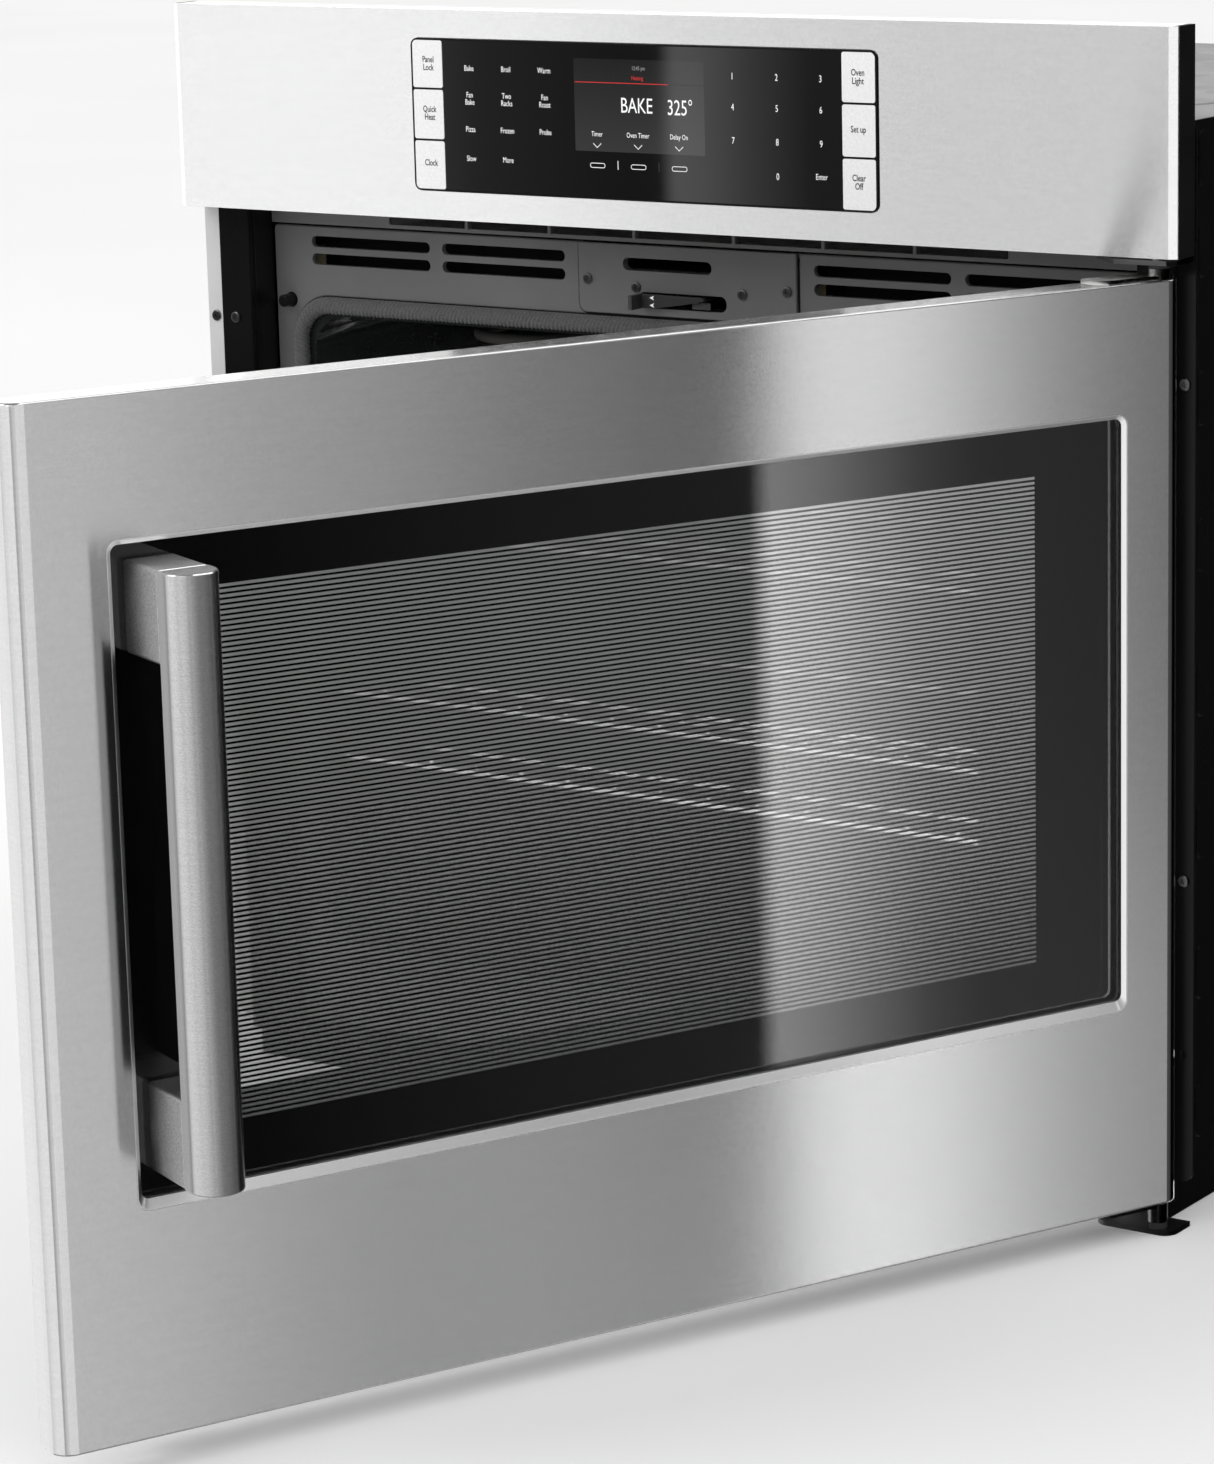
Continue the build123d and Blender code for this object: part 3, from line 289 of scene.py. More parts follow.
def pane(name, haze, haze_tone, roughness=0.02):
    """A see-through pane: clear, with a share of pale haze and a glossy face that brightens at a slant."""
    recipe = Recipe(name)
    recipe.tree.nodes.remove(recipe.shader)
    clear = recipe.add("BsdfTransparent")
    film = recipe.add("BsdfDiffuse")
    film.inputs["Color"].default_value = (*gray(haze_tone), 1)
    cloud = recipe.noise(recipe.place(gray(7)), 1.0, 3.0, 0.5)
    share = recipe.spread(cloud, haze * 0.9, haze * 1.1, 0.3, 0.7)
    body = recipe.add("MixShader")
    recipe.link(share, body.inputs["Fac"])
    recipe.link(clear.outputs["BSDF"], body.inputs[1])
    recipe.link(film.outputs["BSDF"], body.inputs[2])
    shine = recipe.add("BsdfGlossy")
    shine.inputs["Color"].default_value = (*gray(1.0), 1)
    smear = recipe.noise(recipe.place(gray(13)), 1.0, 4.0, 0.6)
    recipe.link(recipe.spread(smear, roughness * 0.6, roughness * 1.6, 0.3, 0.7), shine.inputs["Roughness"])
    fresnel = recipe.add("Fresnel")
    fresnel.inputs["IOR"].default_value = 1.5
    surface = recipe.add("MixShader")
    recipe.link(fresnel.outputs["Fac"], surface.inputs["Fac"])
    recipe.link(body.outputs["Shader"], surface.inputs[1])
    recipe.link(shine.outputs["BSDF"], surface.inputs[2])
    recipe.link(surface.outputs["Shader"], recipe.output.inputs["Surface"])
    return recipe.material


def moulded(name, tone, roughness=0.45):
    """Moulded plastic with a light spark-eroded texture."""
    recipe = Recipe(name, Specular_IOR_Level=0.3)
    grit = recipe.noise(recipe.place(gray(1300)), 1.0, 2.0, 0.6)
    cloud = recipe.noise(recipe.place(gray(20)), 1.0, 2.0, 0.5)
    recipe.drive("Base Color", recipe.blend(cloud, gray(tone * 0.85), gray(tone * 1.15), 0.3, 0.7))
    recipe.drive("Roughness", recipe.spread(grit, roughness * 0.85, roughness * 1.15, 0.3, 0.7))
    recipe.drive("Normal", recipe.bump(grit, 0.15, 0.0002, recipe.soft_edges(0.0005)))
    return recipe.material


def fibre(name, low, high, scale=260.0):
    """Matted or braided mineral fibre."""
    recipe = Recipe(name, Roughness=0.9, Sheen_Weight=0.25)
    strands = recipe.noise(recipe.place((scale, scale * 0.3, scale)), 1.0, 5.0, 0.7)
    recipe.drive("Base Color", recipe.blend(strands, low, high, 0.3, 0.7))
    recipe.drive("Normal", recipe.bump(strands, 0.7, 0.001))
    return recipe.material


def circuit_board(name):
    """Green board with a hint of tracks."""
    recipe = Recipe(name, Roughness=0.4)
    tracks = recipe.cells(recipe.place((1, 1, 1)), 120.0, "Distance", "DISTANCE_TO_EDGE")
    recipe.drive("Base Color", recipe.blend(tracks, (0.11, 0.3, 0.12), (0.015, 0.12, 0.05), 0.03, 0.08))
    recipe.drive("Normal", recipe.bump(tracks, 0.2, 0.0005))
    return recipe.material


def pale_film(name):
    """The pale lines between the black ones: clear, milky and bright shares. The milky haze is the film's own; its
    share and the glossy share grow with height as painted light, so the lines read brighter towards the top.
    """
    recipe = Recipe(name)
    recipe.tree.nodes.remove(recipe.shader)
    cloud = recipe.noise(recipe.place(gray(9)), 1.0, 3.0, 0.5)
    milk = recipe.add("BsdfDiffuse")
    recipe.link(recipe.blend(cloud, gray(0.7), gray(0.78), 0.3, 0.7), milk.inputs["Color"])
    body = recipe.add("MixShader")
    place = recipe.add("SeparateXYZ")
    recipe.link(recipe.add("TexCoord").outputs["Object"], place.inputs["Vector"])
    lowest, highest = 0.18, 0.48
    # The shares rise with height: painted light, brighter on the upper lines.
    haze_and_painted_light_shares = (0.12, 0.60)
    gloss_and_painted_light_shares = (0.05, 0.33)
    recipe.link(recipe.spread(place.outputs["Z"], *haze_and_painted_light_shares, lowest, highest), body.inputs["Fac"])
    recipe.link(recipe.add("BsdfTransparent").outputs["BSDF"], body.inputs[1])
    recipe.link(milk.outputs["BSDF"], body.inputs[2])
    shine = recipe.add("BsdfGlossy")
    shine.inputs["Color"].default_value = (*gray(0.95), 1)
    recipe.link(recipe.spread(cloud, 0.01, 0.02, 0.3, 0.7), shine.inputs["Roughness"])
    surface = recipe.add("MixShader")
    recipe.link(recipe.spread(place.outputs["Z"], *gloss_and_painted_light_shares, lowest, highest), surface.inputs["Fac"])
    recipe.link(body.outputs["Shader"], surface.inputs[1])
    recipe.link(shine.outputs["BSDF"], surface.inputs[2])
    recipe.link(surface.outputs["Shader"], recipe.output.inputs["Surface"])
    return recipe.material


def ink(name, colour, roughness=0.35, glow=0.0, shine=0.5):
    """Screen ink or a lit segment, with the slight unevenness of print."""
    recipe = Recipe(name, Roughness=roughness, Specular_IOR_Level=shine)
    cloud = recipe.noise(recipe.place(gray(600)), 1.0, 2.0, 0.5)
    low = tuple(part * 0.9 for part in colour)
    shade = recipe.blend(cloud, low, colour, 0.3, 0.7)
    recipe.drive("Base Color", shade)
    if glow:
        recipe.drive("Emission Color", shade)
        recipe.shader.inputs["Emission Strength"].default_value = glow
    return recipe.material


def display_face(name):
    """The display's dark face, lighter towards its bottom."""
    recipe = Recipe(name, Roughness=0.03, IOR=1.52)
    where = recipe.add("SeparateXYZ")
    recipe.link(recipe.add("TexCoord").outputs["Object"], where.inputs["Vector"])
    low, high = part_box("display_module")
    fade = recipe.spread(where.outputs["Z"], 0.0, 1.0, low.z, high.z)
    dither = recipe.noise(recipe.place(gray(900)), 1.0, 2.0, 0.5)
    mixed = recipe.math("ADD", fade, recipe.spread(dither, -0.03, 0.03, 0.3, 0.7))
    recipe.drive("Base Color", recipe.blend(mixed, gray(0.035), gray(0.012)))
    return recipe.material


door_turn = -rest_angle
finishes = {
    "stainless": brushed_steel("panel_steel"),
    "bright_trim": brushed_steel("trim_steel", door_turn, 0.85, 0.3, 0.015),
    "handle_metal": brushed_steel("handle_steel", door_turn, 0.62, 0.24, 0.05),
    "cast_metal": satin_metal("handle_cast_metal"),
    "black_glass": black_glass("control_black_glass"),
    "striped_glass": pane("front_pane", 0.0, 0.5),
    "clear_glass": pane("inner_pane", 0.02, 0.7),
    "grey_enamel": enamel("front_grey_enamel", 0.125, 0.42),
    "cavity_enamel": enamel("cavity_enamel", 0.02, 0.16, 0.07, 0.3, (0.9, 0.97, 1.0)),
    "black_paint": enamel("black_powder_coat", 0.005, 0.26, shine=0.3),
    "galvanised": galvanised_sheet("galvanised_sheet"),
    "zinc": plated_steel("bright_zinc", (0.82, 0.82, 0.8), 0.28),
    "dark_plate": enamel("latch_dark_plate", 0.035, 0.4),
    "rack_wire": plated_steel("rack_chrome", (0.86, 0.86, 0.87), 0.16),
    "element_tube": enamel("element_oxide", 0.05, 0.55, tint=(1.0, 0.95, 0.9)),
    "gasket_braid": fibre("gasket_glass_fibre", gray(0.03), gray(0.13), 1400.0),
    "insulation": fibre("mineral_wool", (0.62, 0.52, 0.3), (0.8, 0.72, 0.5)),
    "motor_metal": satin_metal("motor_casting", 0.5),
    "screw_steel": plated_steel("screw_plate", (0.34, 0.34, 0.34), 0.35),
    "board": circuit_board("green_board"),
    "black_plastic": moulded("black_plastic", 0.008, 0.35),
    "pad_face": ink("touch_pad_white", gray(0.78), 0.08),
    "nylon": moulded("black_nylon", 0.03, 0.4),
}
door_steel = brushed_steel("door_steel", door_turn)
flange_finish = enamel("flange_zinc_paint", 0.5, 0.45)
bright_plate = plated_steel("bright_plate", (0.62, 0.62, 0.61), 0.4)
window_black = ink("window_black_print", gray(0.004), 0.25, shine=0.0)
print_black = ink("printed_black", gray(0.006), 0.4)
# White print with a faint glow (strength 0.25): over the display it stands for the display's own light; on the
# printed words, digits and the latch hook's arrows the glow is painted light.
white_print_and_glow = ink("white_print_and_painted_glow", gray(0.85), 0.4, 0.25)
print_grey = ink("printed_grey", gray(0.32), 0.4)
print_red = ink("lit_red", (0.55, 0.02, 0.02), 0.4, 0.3)
print_dim = ink("printed_dim", gray(0.06), 0.4)
hazy_pane = pane("low_emissivity_pane", 0.08, 0.62)
own_finish = {
    "door_skin": door_steel,
    "left_mounting_flange": flange_finish,
    "hinge_brackets": plated_steel("bracket_plate", gray(0.3), 0.4),
    "middle_door_glass": hazy_pane,
}


def paint(piece, material):
    """Gives a piece one material."""
    piece.data.materials.clear()
    piece.data.materials.append(material)


def paint_cad_nodes():
    """Each CAD node takes its own finish or the finish of its material slot."""
    for part in frame["record"]["subparts"]:
        name = part["node"]
        paint(nodes[name], own_finish.get(name, finishes[part["material_slot"]]))


# ---------------------------------------------------------------- mesh helpers
def new_piece(name, mesh, material, body, swung=False):
    """A finished piece, riding on a body. Swung pieces are drawn with the door shut."""
    if swung:
        mesh.transform(door_swing)
    piece = bpy.data.objects.new(name, mesh)
    bpy.context.scene.collection.objects.link(piece)
    paint(piece, material)
    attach(piece, body)
    return piece


def add_box(bm, x_range, y_range, z_range):
    """A closed box in the mesh being built."""
    corners = [bm.verts.new((x, y, z)) for x in x_range for y in y_range for z in z_range]
    sides = ((0, 1, 3, 2), (4, 6, 7, 5), (0, 4, 5, 1), (2, 3, 7, 6), (0, 2, 6, 4), (1, 5, 7, 3))
    for side in sides:
        bm.faces.new([corners[index] for index in side])


def span(low, high):
    """A range in metres from one in millimetres."""
    return (low * MM, high * MM)


def mesh_from(bm, name):
    """A finished mesh from the one being built."""
    bmesh.ops.recalc_face_normals(bm, faces=bm.faces)
    mesh = bpy.data.meshes.new(name)
    bm.to_mesh(mesh)
    bm.free()
    return mesh


def shade_smooth(mesh):
    """Shades every face smooth."""
    for polygon in mesh.polygons:
        polygon.use_smooth = True


def rounded_outline(x_range, z_range, corner, steps=6):
    """The corner points of a rounded rectangle, anticlockwise seen from the front."""
    points = []
    centres = (
        (x_range[1] - corner, z_range[1] - corner, 0),
        (x_range[0] + corner, z_range[1] - corner, 90),
        (x_range[0] + corner, z_range[0] + corner, 180),
        (x_range[1] - corner, z_range[0] + corner, 270),
    )
    for centre_x, centre_z, start in centres:
        for step in range(steps + 1):
            angle = radians(start + 90 * step / steps)
            points.append((centre_x + corner * cos(angle), centre_z + corner * sin(angle)))
    return points


def add_ring(bm, outer, inner, y_range):
    """A flat closed ring between two outlines with the same number of points."""
    count = len(outer)
    loops = []
    for outline, y in ((outer, y_range[0]), (inner, y_range[0]), (inner, y_range[1]), (outer, y_range[1])):
        loops.append([bm.verts.new((x, y, z)) for x, z in outline])
    for current, following in ((0, 1), (1, 2), (2, 3), (3, 0)):
        for index in range(count):
            after = (index + 1) % count
            near, far = loops[current], loops[following]
            bm.faces.new((near[index], near[after], far[after], far[index]))


def add_plate(bm, outline, y_range):
    """A flat closed plate with the given outline."""
    front = [bm.verts.new((x, y_range[0], z)) for x, z in outline]
    back = [bm.verts.new((x, y_range[1], z)) for x, z in outline]
    bm.faces.new(front)
    bm.faces.new(list(reversed(back)))
    for index in range(len(outline)):
        after = (index + 1) % len(outline)
        bm.faces.new((front[after], front[index], back[index], back[after]))


# ---------------------------------------------------------------- door window print
def window_print():
    """The black print behind the front pane: a broad border round a field of fine level lines."""
    glass_low, glass_high = shut_box("outer_door_glass")
    print_gap = 0.15 * MM
    y_range = (glass_high.y + print_gap, glass_high.y + 3 * print_gap)
    inset = 1.0 * MM
    centre_x = 5.8 * MM
    half_width = 267.9 * MM
    line_pitch = 2.9 * MM
    line_count = 102
    black_height = 0.44 * line_pitch
    field_top = 481.5 * MM
    field_bottom = field_top - line_count * line_pitch + black_height
    left, right = centre_x - half_width, centre_x + half_width
    black = bmesh.new()
    outer_x = (glass_low.x + inset, glass_high.x - inset)
    outer_z = (glass_low.z + inset, glass_high.z - inset)
    add_box(black, (outer_x[0], left), y_range, outer_z)
    add_box(black, (right, outer_x[1]), y_range, outer_z)
    add_box(black, (left, right), y_range, (field_top, outer_z[1]))
    add_box(black, (left, right), y_range, (outer_z[0], field_bottom))
    pale = bmesh.new()
    for line in range(1, line_count + 1):
        low = field_top - line * line_pitch
        add_box(pale, (left, right), y_range, (low + black_height, low + line_pitch))
        if line < line_count:
            add_box(black, (left, right), y_range, (low, low + black_height))
    new_piece("window_print", mesh_from(black, "window_print"), window_black, "door", True)
    lines = mesh_from(pale, "window_pale_lines")
    new_piece("window_pale_lines", lines, pale_film("window_pale_film"), "door", True)


# ---------------------------------------------------------------- braided gasket
def braided_gasket():
    """The woven rope round the cavity mouth, with slanting ribs."""
    low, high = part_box("oven_gasket")
    rope_half_width = 6.1 * MM
    rope_half_depth = (high.y - low.y) / 2
    corner = 30.8 * MM - rope_half_width
    x_range = (low.x + rope_half_width, high.x - rope_half_width)
    z_range = (low.z + rope_half_width, high.z - rope_half_width)
    step = 0.55 * MM
    path = []
    straight_x = x_range[1] - x_range[0] - 2 * corner
    straight_z = z_range[1] - z_range[0] - 2 * corner
    arc = corner * pi / 2
    runs = (
        (Vector((x_range[1] - corner, z_range[1])), Vector((-1, 0)), straight_x),
        (Vector((x_range[0], z_range[1] - corner)), Vector((0, -1)), straight_z),
        (Vector((x_range[0] + corner, z_range[0])), Vector((1, 0)), straight_x),
        (Vector((x_range[1], z_range[0] + corner)), Vector((0, 1)), straight_z),
    )
    for start, heading, length in runs:
        outward = Vector((heading.y, -heading.x))
        count = round(length / step)
        for index in range(count):
            path.append((start + heading * (length * index / count), outward))
        bend_centre = start + heading * length - outward * corner
        count = round(arc / step)
        for index in range(count):
            angle = (pi / 2) * index / count
            direction = outward * cos(angle) + heading * sin(angle)
            path.append((bend_centre + direction * corner, direction))
    sides = 18
    rib_pitch = 3.2 * MM
    total = step * len(path)
    rib_count = round(total / rib_pitch)
    rib_depth = 0.26
    twist = 5
    centre_y = (low.y + high.y) / 2
    bm = bmesh.new()
    rings = []
    for index, (point, outward) in enumerate(path):
        ring = []
        for side in range(sides):
            angle = 2 * pi * side / sides
            phase = rib_count * index / len(path) + twist * side / sides
            swell = 1 - rib_depth * (1 - abs(sin(pi * phase)))
            along = rope_half_width * cos(angle) * swell
            back = rope_half_depth * sin(angle) * swell
            across = point + outward * along
            ring.append(bm.verts.new((across.x, centre_y + back, across.y)))
        rings.append(ring)
    for index, ring in enumerate(rings):
        following = rings[(index + 1) % len(rings)]
        for side in range(sides):
            after = (side + 1) % sides
            bm.faces.new((ring[side], ring[after], following[after], following[side]))
    mesh = mesh_from(bm, "braided_gasket")
    shade_smooth(mesh)
    gasket = new_piece("braided_gasket", mesh, finishes["gasket_braid"], "cabinet")
    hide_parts("oven_gasket")


# ---------------------------------------------------------------- painted shade in the gap round the latch cover
def cover_gap():
    """A black ring laid in the front frame's groove round the latch cover plate: painted shade, which makes the
    gap read dark.
    """
    low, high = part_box("latch_cover_plate")
    groove_bottom = y_at(52.1 * MM)
    gap = 1.3 * MM
    tuck = 0.5 * MM
    depth = 1.4 * MM
    outer_corner, inner_corner = 7.3 * MM, 5.5 * MM
    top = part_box("front_frame")[1].z
    bm = bmesh.new()
    outer = rounded_outline((low.x - gap, high.x + gap), (low.z - gap, top), outer_corner)
    inner = rounded_outline((low.x + tuck, high.x - tuck), (low.z + tuck, top - gap), inner_corner)
    # The ring is painted shade: black where the groove would fall into shadow.
    add_ring(bm, outer, inner, (groove_bottom - depth, groove_bottom))
    mesh = mesh_from(bm, "cover_gap_shadow")
    new_piece("cover_gap_shadow", mesh, finishes["black_plastic"], "cabinet")


# ---------------------------------------------------------------- control panel graphics
print_lift = 0.03 * MM
word_height = 3.7
digit_height = 4.3
readout_height = 9.8
timer_height = 3.3
clock_height = 2.6
heat_height = 2.7
pad_letter_height = 4.1
timer_columns = (-32.2, -0.9, 30.1)


def lettering(name, labels, y, material, weight=0.0):
    """One piece from several labels: each is its text, the X and Z of its centre, and its letter height."""
    capital_share = 0.72
    narrowing = Matrix.Scale(0.76, 4, (1, 0, 0))
    bm = bmesh.new()
    for text, x, z, height in labels:
        curve = bpy.data.curves.new("label", "FONT")
        curve.body = text
        curve.size = height * MM / capital_share
        curve.align_x = "CENTER"
        curve.align_y = "CENTER"
        curve.extrude = 0.02 * MM
        curve.offset = weight * MM
        curve.resolution_u = 3
        curve.space_line = 0.9
        holder = bpy.data.objects.new("label", curve)
        bpy.context.scene.collection.objects.link(holder)
        bpy.context.view_layer.update()
        mesh = bpy.data.meshes.new_from_object(holder.evaluated_get(bpy.context.evaluated_depsgraph_get()))
        place = Matrix.Translation((x * MM, y, z * MM))
        mesh.transform(place @ Matrix.Rotation(pi / 2, 4, "X") @ narrowing)
        bm.from_mesh(mesh)
        bpy.data.objects.remove(holder)
        bpy.data.curves.remove(curve)
        bpy.data.meshes.remove(mesh)
    mesh = bpy.data.meshes.new(name)
    bm.to_mesh(mesh)
    bm.free()
    return new_piece(name, mesh, material, "cabinet")


def mode_labels():
    """The cooking modes, at the left of the control glass."""
    columns = (-131.2, -102.0, -72.1)
    rows = (701.0, 681.7, 662.0, 643.2)
    modes = (
        ("Bake", "Broil", "Warm"),
        ("Fan\nBake", "Two\nRacks", "Fan\nRoast"),
        ("Pizza", "Frozen", "Probe"),
        ("Slow", "More"),
    )
    labels = []
    for row_z, words in zip(rows, modes):
        for column_x, word in zip(columns, words):
            labels.append((word, column_x, row_z, word_height))
    return labels


def number_labels():
    """The number keys, at the right of the control glass."""
    columns = (70.5, 102.9, 134.8)
    labels = []
    for row, row_z in enumerate((701.3, 682.3, 661.6)):
        for column, column_x in enumerate(columns):
            labels.append((str(3 * row + column + 1), column_x, row_z, digit_height))
    labels.append(("0", columns[1], 640.5, digit_height))
    labels.append(("Enter", columns[2], 641.5, word_height))
    return labels


def display_labels():
    """The display's mode and temperature, and the timers' names."""
    timer_z = 662.3
    labels = [("BAKE", -1.5, 680.6, readout_height), ("325°", 31.3, 680.2, readout_height)]
    for column_x, word in zip(timer_columns, ("Timer", "Oven Timer", "Delay On")):
        labels.append((word, column_x, timer_z, timer_height))
    return labels


def add_key_mark(bm, centre, y_range):
    """A timer key's slot-shaped outline with a downward arrowhead above it."""
    outer_half, inner_half = 5.8 * MM, 5.4 * MM
    outer = rounded_outline((centre - outer_half, centre + outer_half), span(641.0, 644.2), 1.5 * MM)
    inner = rounded_outline((centre - inner_half, centre + inner_half), span(641.4, 643.8), 1.1 * MM)
    add_ring(bm, outer, inner, y_range)
    half, drop, stroke = 3.0 * MM, 2.6 * MM, 0.55 * MM
    tip_z = 653.6 * MM
    for side in (-1, 1):
        outline = [
            (centre, tip_z),
            (centre + side * half, tip_z + drop),
            (centre + side * half, tip_z + drop + stroke),
            (centre, tip_z + stroke),
        ]
        add_plate(bm, outline if side > 0 else list(reversed(outline)), y_range)


def display_marks(glass_y):
    """The display's lines and the marks of the keys under it."""
    half_print = 0.02 * MM
    y_range = (glass_y - half_print, glass_y + half_print)
    divider_z = span(640.5, 646)
    bm = bmesh.new()
    add_box(bm, span(-48.3, 22.7), y_range, span(694.6, 695.1))
    new_piece("display_heat_line", mesh_from(bm, "display_heat_line"), print_red, "cabinet")

    bm = bmesh.new()
    add_box(bm, span(22.7, 49.5), y_range, span(694.65, 695.05))
    add_box(bm, span(14.4, 14.8), y_range, divider_z)
    new_piece("display_dim_lines", mesh_from(bm, "display_dim_lines"), print_dim, "cabinet")

    bm = bmesh.new()
    add_box(bm, span(-16.85, -16.35), y_range, divider_z)
    for column_x in timer_columns:
        add_key_mark(bm, column_x * MM, y_range)
    new_piece("display_key_marks", mesh_from(bm, "display_key_marks"), white_print_and_glow, "cabinet")


def display_panel(glass_front):
    """The display's face, just proud of the control glass."""
    left_inset, right_inset = 3 * MM, 0.5 * MM
    proud, sunk = 0.012 * MM, 0.01 * MM
    low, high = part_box("display_module")
    outline = rounded_outline((low.x + left_inset, high.x - right_inset), span(651.5, 709.7), 0.8 * MM)
    bm = bmesh.new()
    add_plate(bm, outline, (glass_front - proud, glass_front + sunk))
    mesh = mesh_from(bm, "display_face")
    new_piece("display_face", mesh, display_face("display_face"), "cabinet")


def pad_labels():
    """The words on the white touch pads, three at each end of the glass."""
    rows = (703.4, 671.5, 639.4)
    ends = (
        (-163.4, ("Panel\nLock", "Quick\nHeat", "Clock")),
        (161.8, ("Oven\nLight", "Set up", "Clear\nOff")),
    )
    return [(word, x, z, pad_letter_height) for x, words in ends for z, word in zip(rows, words)]


def glass_outline(pad_y):
    """The black line round the control glass."""
    low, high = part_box("control_glass")
    margin = 1.1 * MM
    half_print = 0.02 * MM
    outer_corner, inner_corner = 5.0 * MM, 3.9 * MM
    outer = rounded_outline((low.x, high.x), (low.z, high.z), outer_corner)
    inner_x = (low.x + margin, high.x - margin)
    inner_z = (low.z + margin, high.z - margin)
    inner = rounded_outline(inner_x, inner_z, inner_corner)
    bm = bmesh.new()
    add_ring(bm, outer, inner, (pad_y - half_print, pad_y + half_print))
    new_piece("glass_outline", mesh_from(bm, "glass_outline"), print_black, "cabinet")


def panel_graphics():
    """Generic words, digits and lines on the control glass."""
    glass_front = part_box("control_glass")[0].y
    glass_y = glass_front - print_lift
    pad_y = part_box("touch_pads")[0].y - print_lift
    lettering("panel_lettering", mode_labels() + number_labels() + display_labels(), glass_y, white_print_and_glow)
    lettering("panel_status_words", [("12:45 pm", 0.5, 704.3, clock_height)], glass_y, print_grey)
    lettering("panel_heat_word", [("Heating", -0.5, 698.2, heat_height)], glass_y, print_red)
    display_marks(glass_y)
    display_panel(glass_front)
    lettering("pad_lettering", pad_labels(), pad_y, print_black, weight=0.07)
    glass_outline(pad_y)


def latch_marks():
    """The latch hook's bright details: two printed arrows with a painted glow, a painted highlight on its tip
    where the side face catches the light, and the tab in the slot.
    """
    hook_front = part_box("latch_hook")[0].y
    face_y = y_at(43.6 * MM)
    tip_x, notch_x, wing_x = -25.2 * MM, -22.6 * MM, -21.6 * MM
    half_height = 1.5 * MM
    bm = bmesh.new()
    for centre_z, flip in ((553.4, 1), (548.6, -1)):
        z = centre_z * MM
        outline = [
            (tip_x, z),
            (wing_x, z - flip * half_height),
            (notch_x, z),
            (wing_x, z + flip * half_height),
        ]
        add_plate(bm, outline, (face_y - 0.05 * MM, face_y - 0.01 * MM))
    new_piece("latch_arrow_marks", mesh_from(bm, "latch_arrow_marks"), white_print_and_glow, "latch_hook")

    bm = bmesh.new()
    # A bright plate on the hook's left end: painted highlight for its lit side face.
    tip_painted_highlight = rounded_outline(span(-33.9, -31.3), span(546.6, 555.4), 0.6 * MM)
    add_plate(bm, tip_painted_highlight, (hook_front - 0.06 * MM, hook_front - 0.01 * MM))
    tab = rounded_outline(span(6.0, 20.0), span(547.4, 551.8), 0.8 * MM)
    add_plate(bm, tab, (y_at(46.2 * MM), y_at(47.4 * MM)))
    new_piece("latch_bright_plates", mesh_from(bm, "latch_bright_plates"), bright_plate, "latch_hook")


# ---------------------------------------------------------------- studio
def floor():
    """A plain pale floor."""
    size = 60.0
    bm = bmesh.new()
    bmesh.ops.create_grid(bm, x_segments=1, y_segments=1, size=size)
    mesh = mesh_from(bm, "floor")
    piece = bpy.data.objects.new("floor", mesh)
    bpy.context.scene.collection.objects.link(piece)
    recipe = Recipe("pale_floor", Roughness=0.9)
    cloud = recipe.noise(recipe.place(gray(0.7)), 1.0, 2.0, 0.5)
    recipe.drive("Base Color", recipe.blend(cloud, gray(0.86), gray(0.9), 0.3, 0.7))
    paint(piece, recipe.material)
    piece.visible_glossy = False
    piece.visible_shadow = False


def world_light(camera_tone, diffuse_tone, glossy_tone):
    """An even white room, darker in the reflections so that metal and glass keep their contrast."""
    world = bpy.data.worlds.new("studio")
    bpy.context.scene.world = world
    world.use_nodes = True
    tree = world.node_tree
    tree.nodes.clear()
    output = tree.nodes.new("ShaderNodeOutputWorld")
    ray = tree.nodes.new("ShaderNodeLightPath")
    tones = []
    for tone in (camera_tone, diffuse_tone, glossy_tone):
        background = tree.nodes.new("ShaderNodeBackground")
        background.inputs["Color"].default_value = (*gray(1.0), 1)
        background.inputs["Strength"].default_value = tone
        tones.append(background.outputs["Background"])
    glossy_mix = tree.nodes.new("ShaderNodeMixShader")
    tree.links.new(ray.outputs["Is Glossy Ray"], glossy_mix.inputs["Fac"])
    tree.links.new(tones[1], glossy_mix.inputs[1])
    tree.links.new(tones[2], glossy_mix.inputs[2])
    camera_mix = tree.nodes.new("ShaderNodeMixShader")
    tree.links.new(ray.outputs["Is Camera Ray"], camera_mix.inputs["Fac"])
    tree.links.new(glossy_mix.outputs["Shader"], camera_mix.inputs[1])
    tree.links.new(tones[0], camera_mix.inputs[2])
    tree.links.new(camera_mix.outputs["Shader"], output.inputs["Surface"])


def light_group(name, members):
    """A collection for light linking that holds the pieces a light is meant for."""
    group = bpy.data.collections.new(name)
    for member in members:
        group.objects.link(member)
    return group


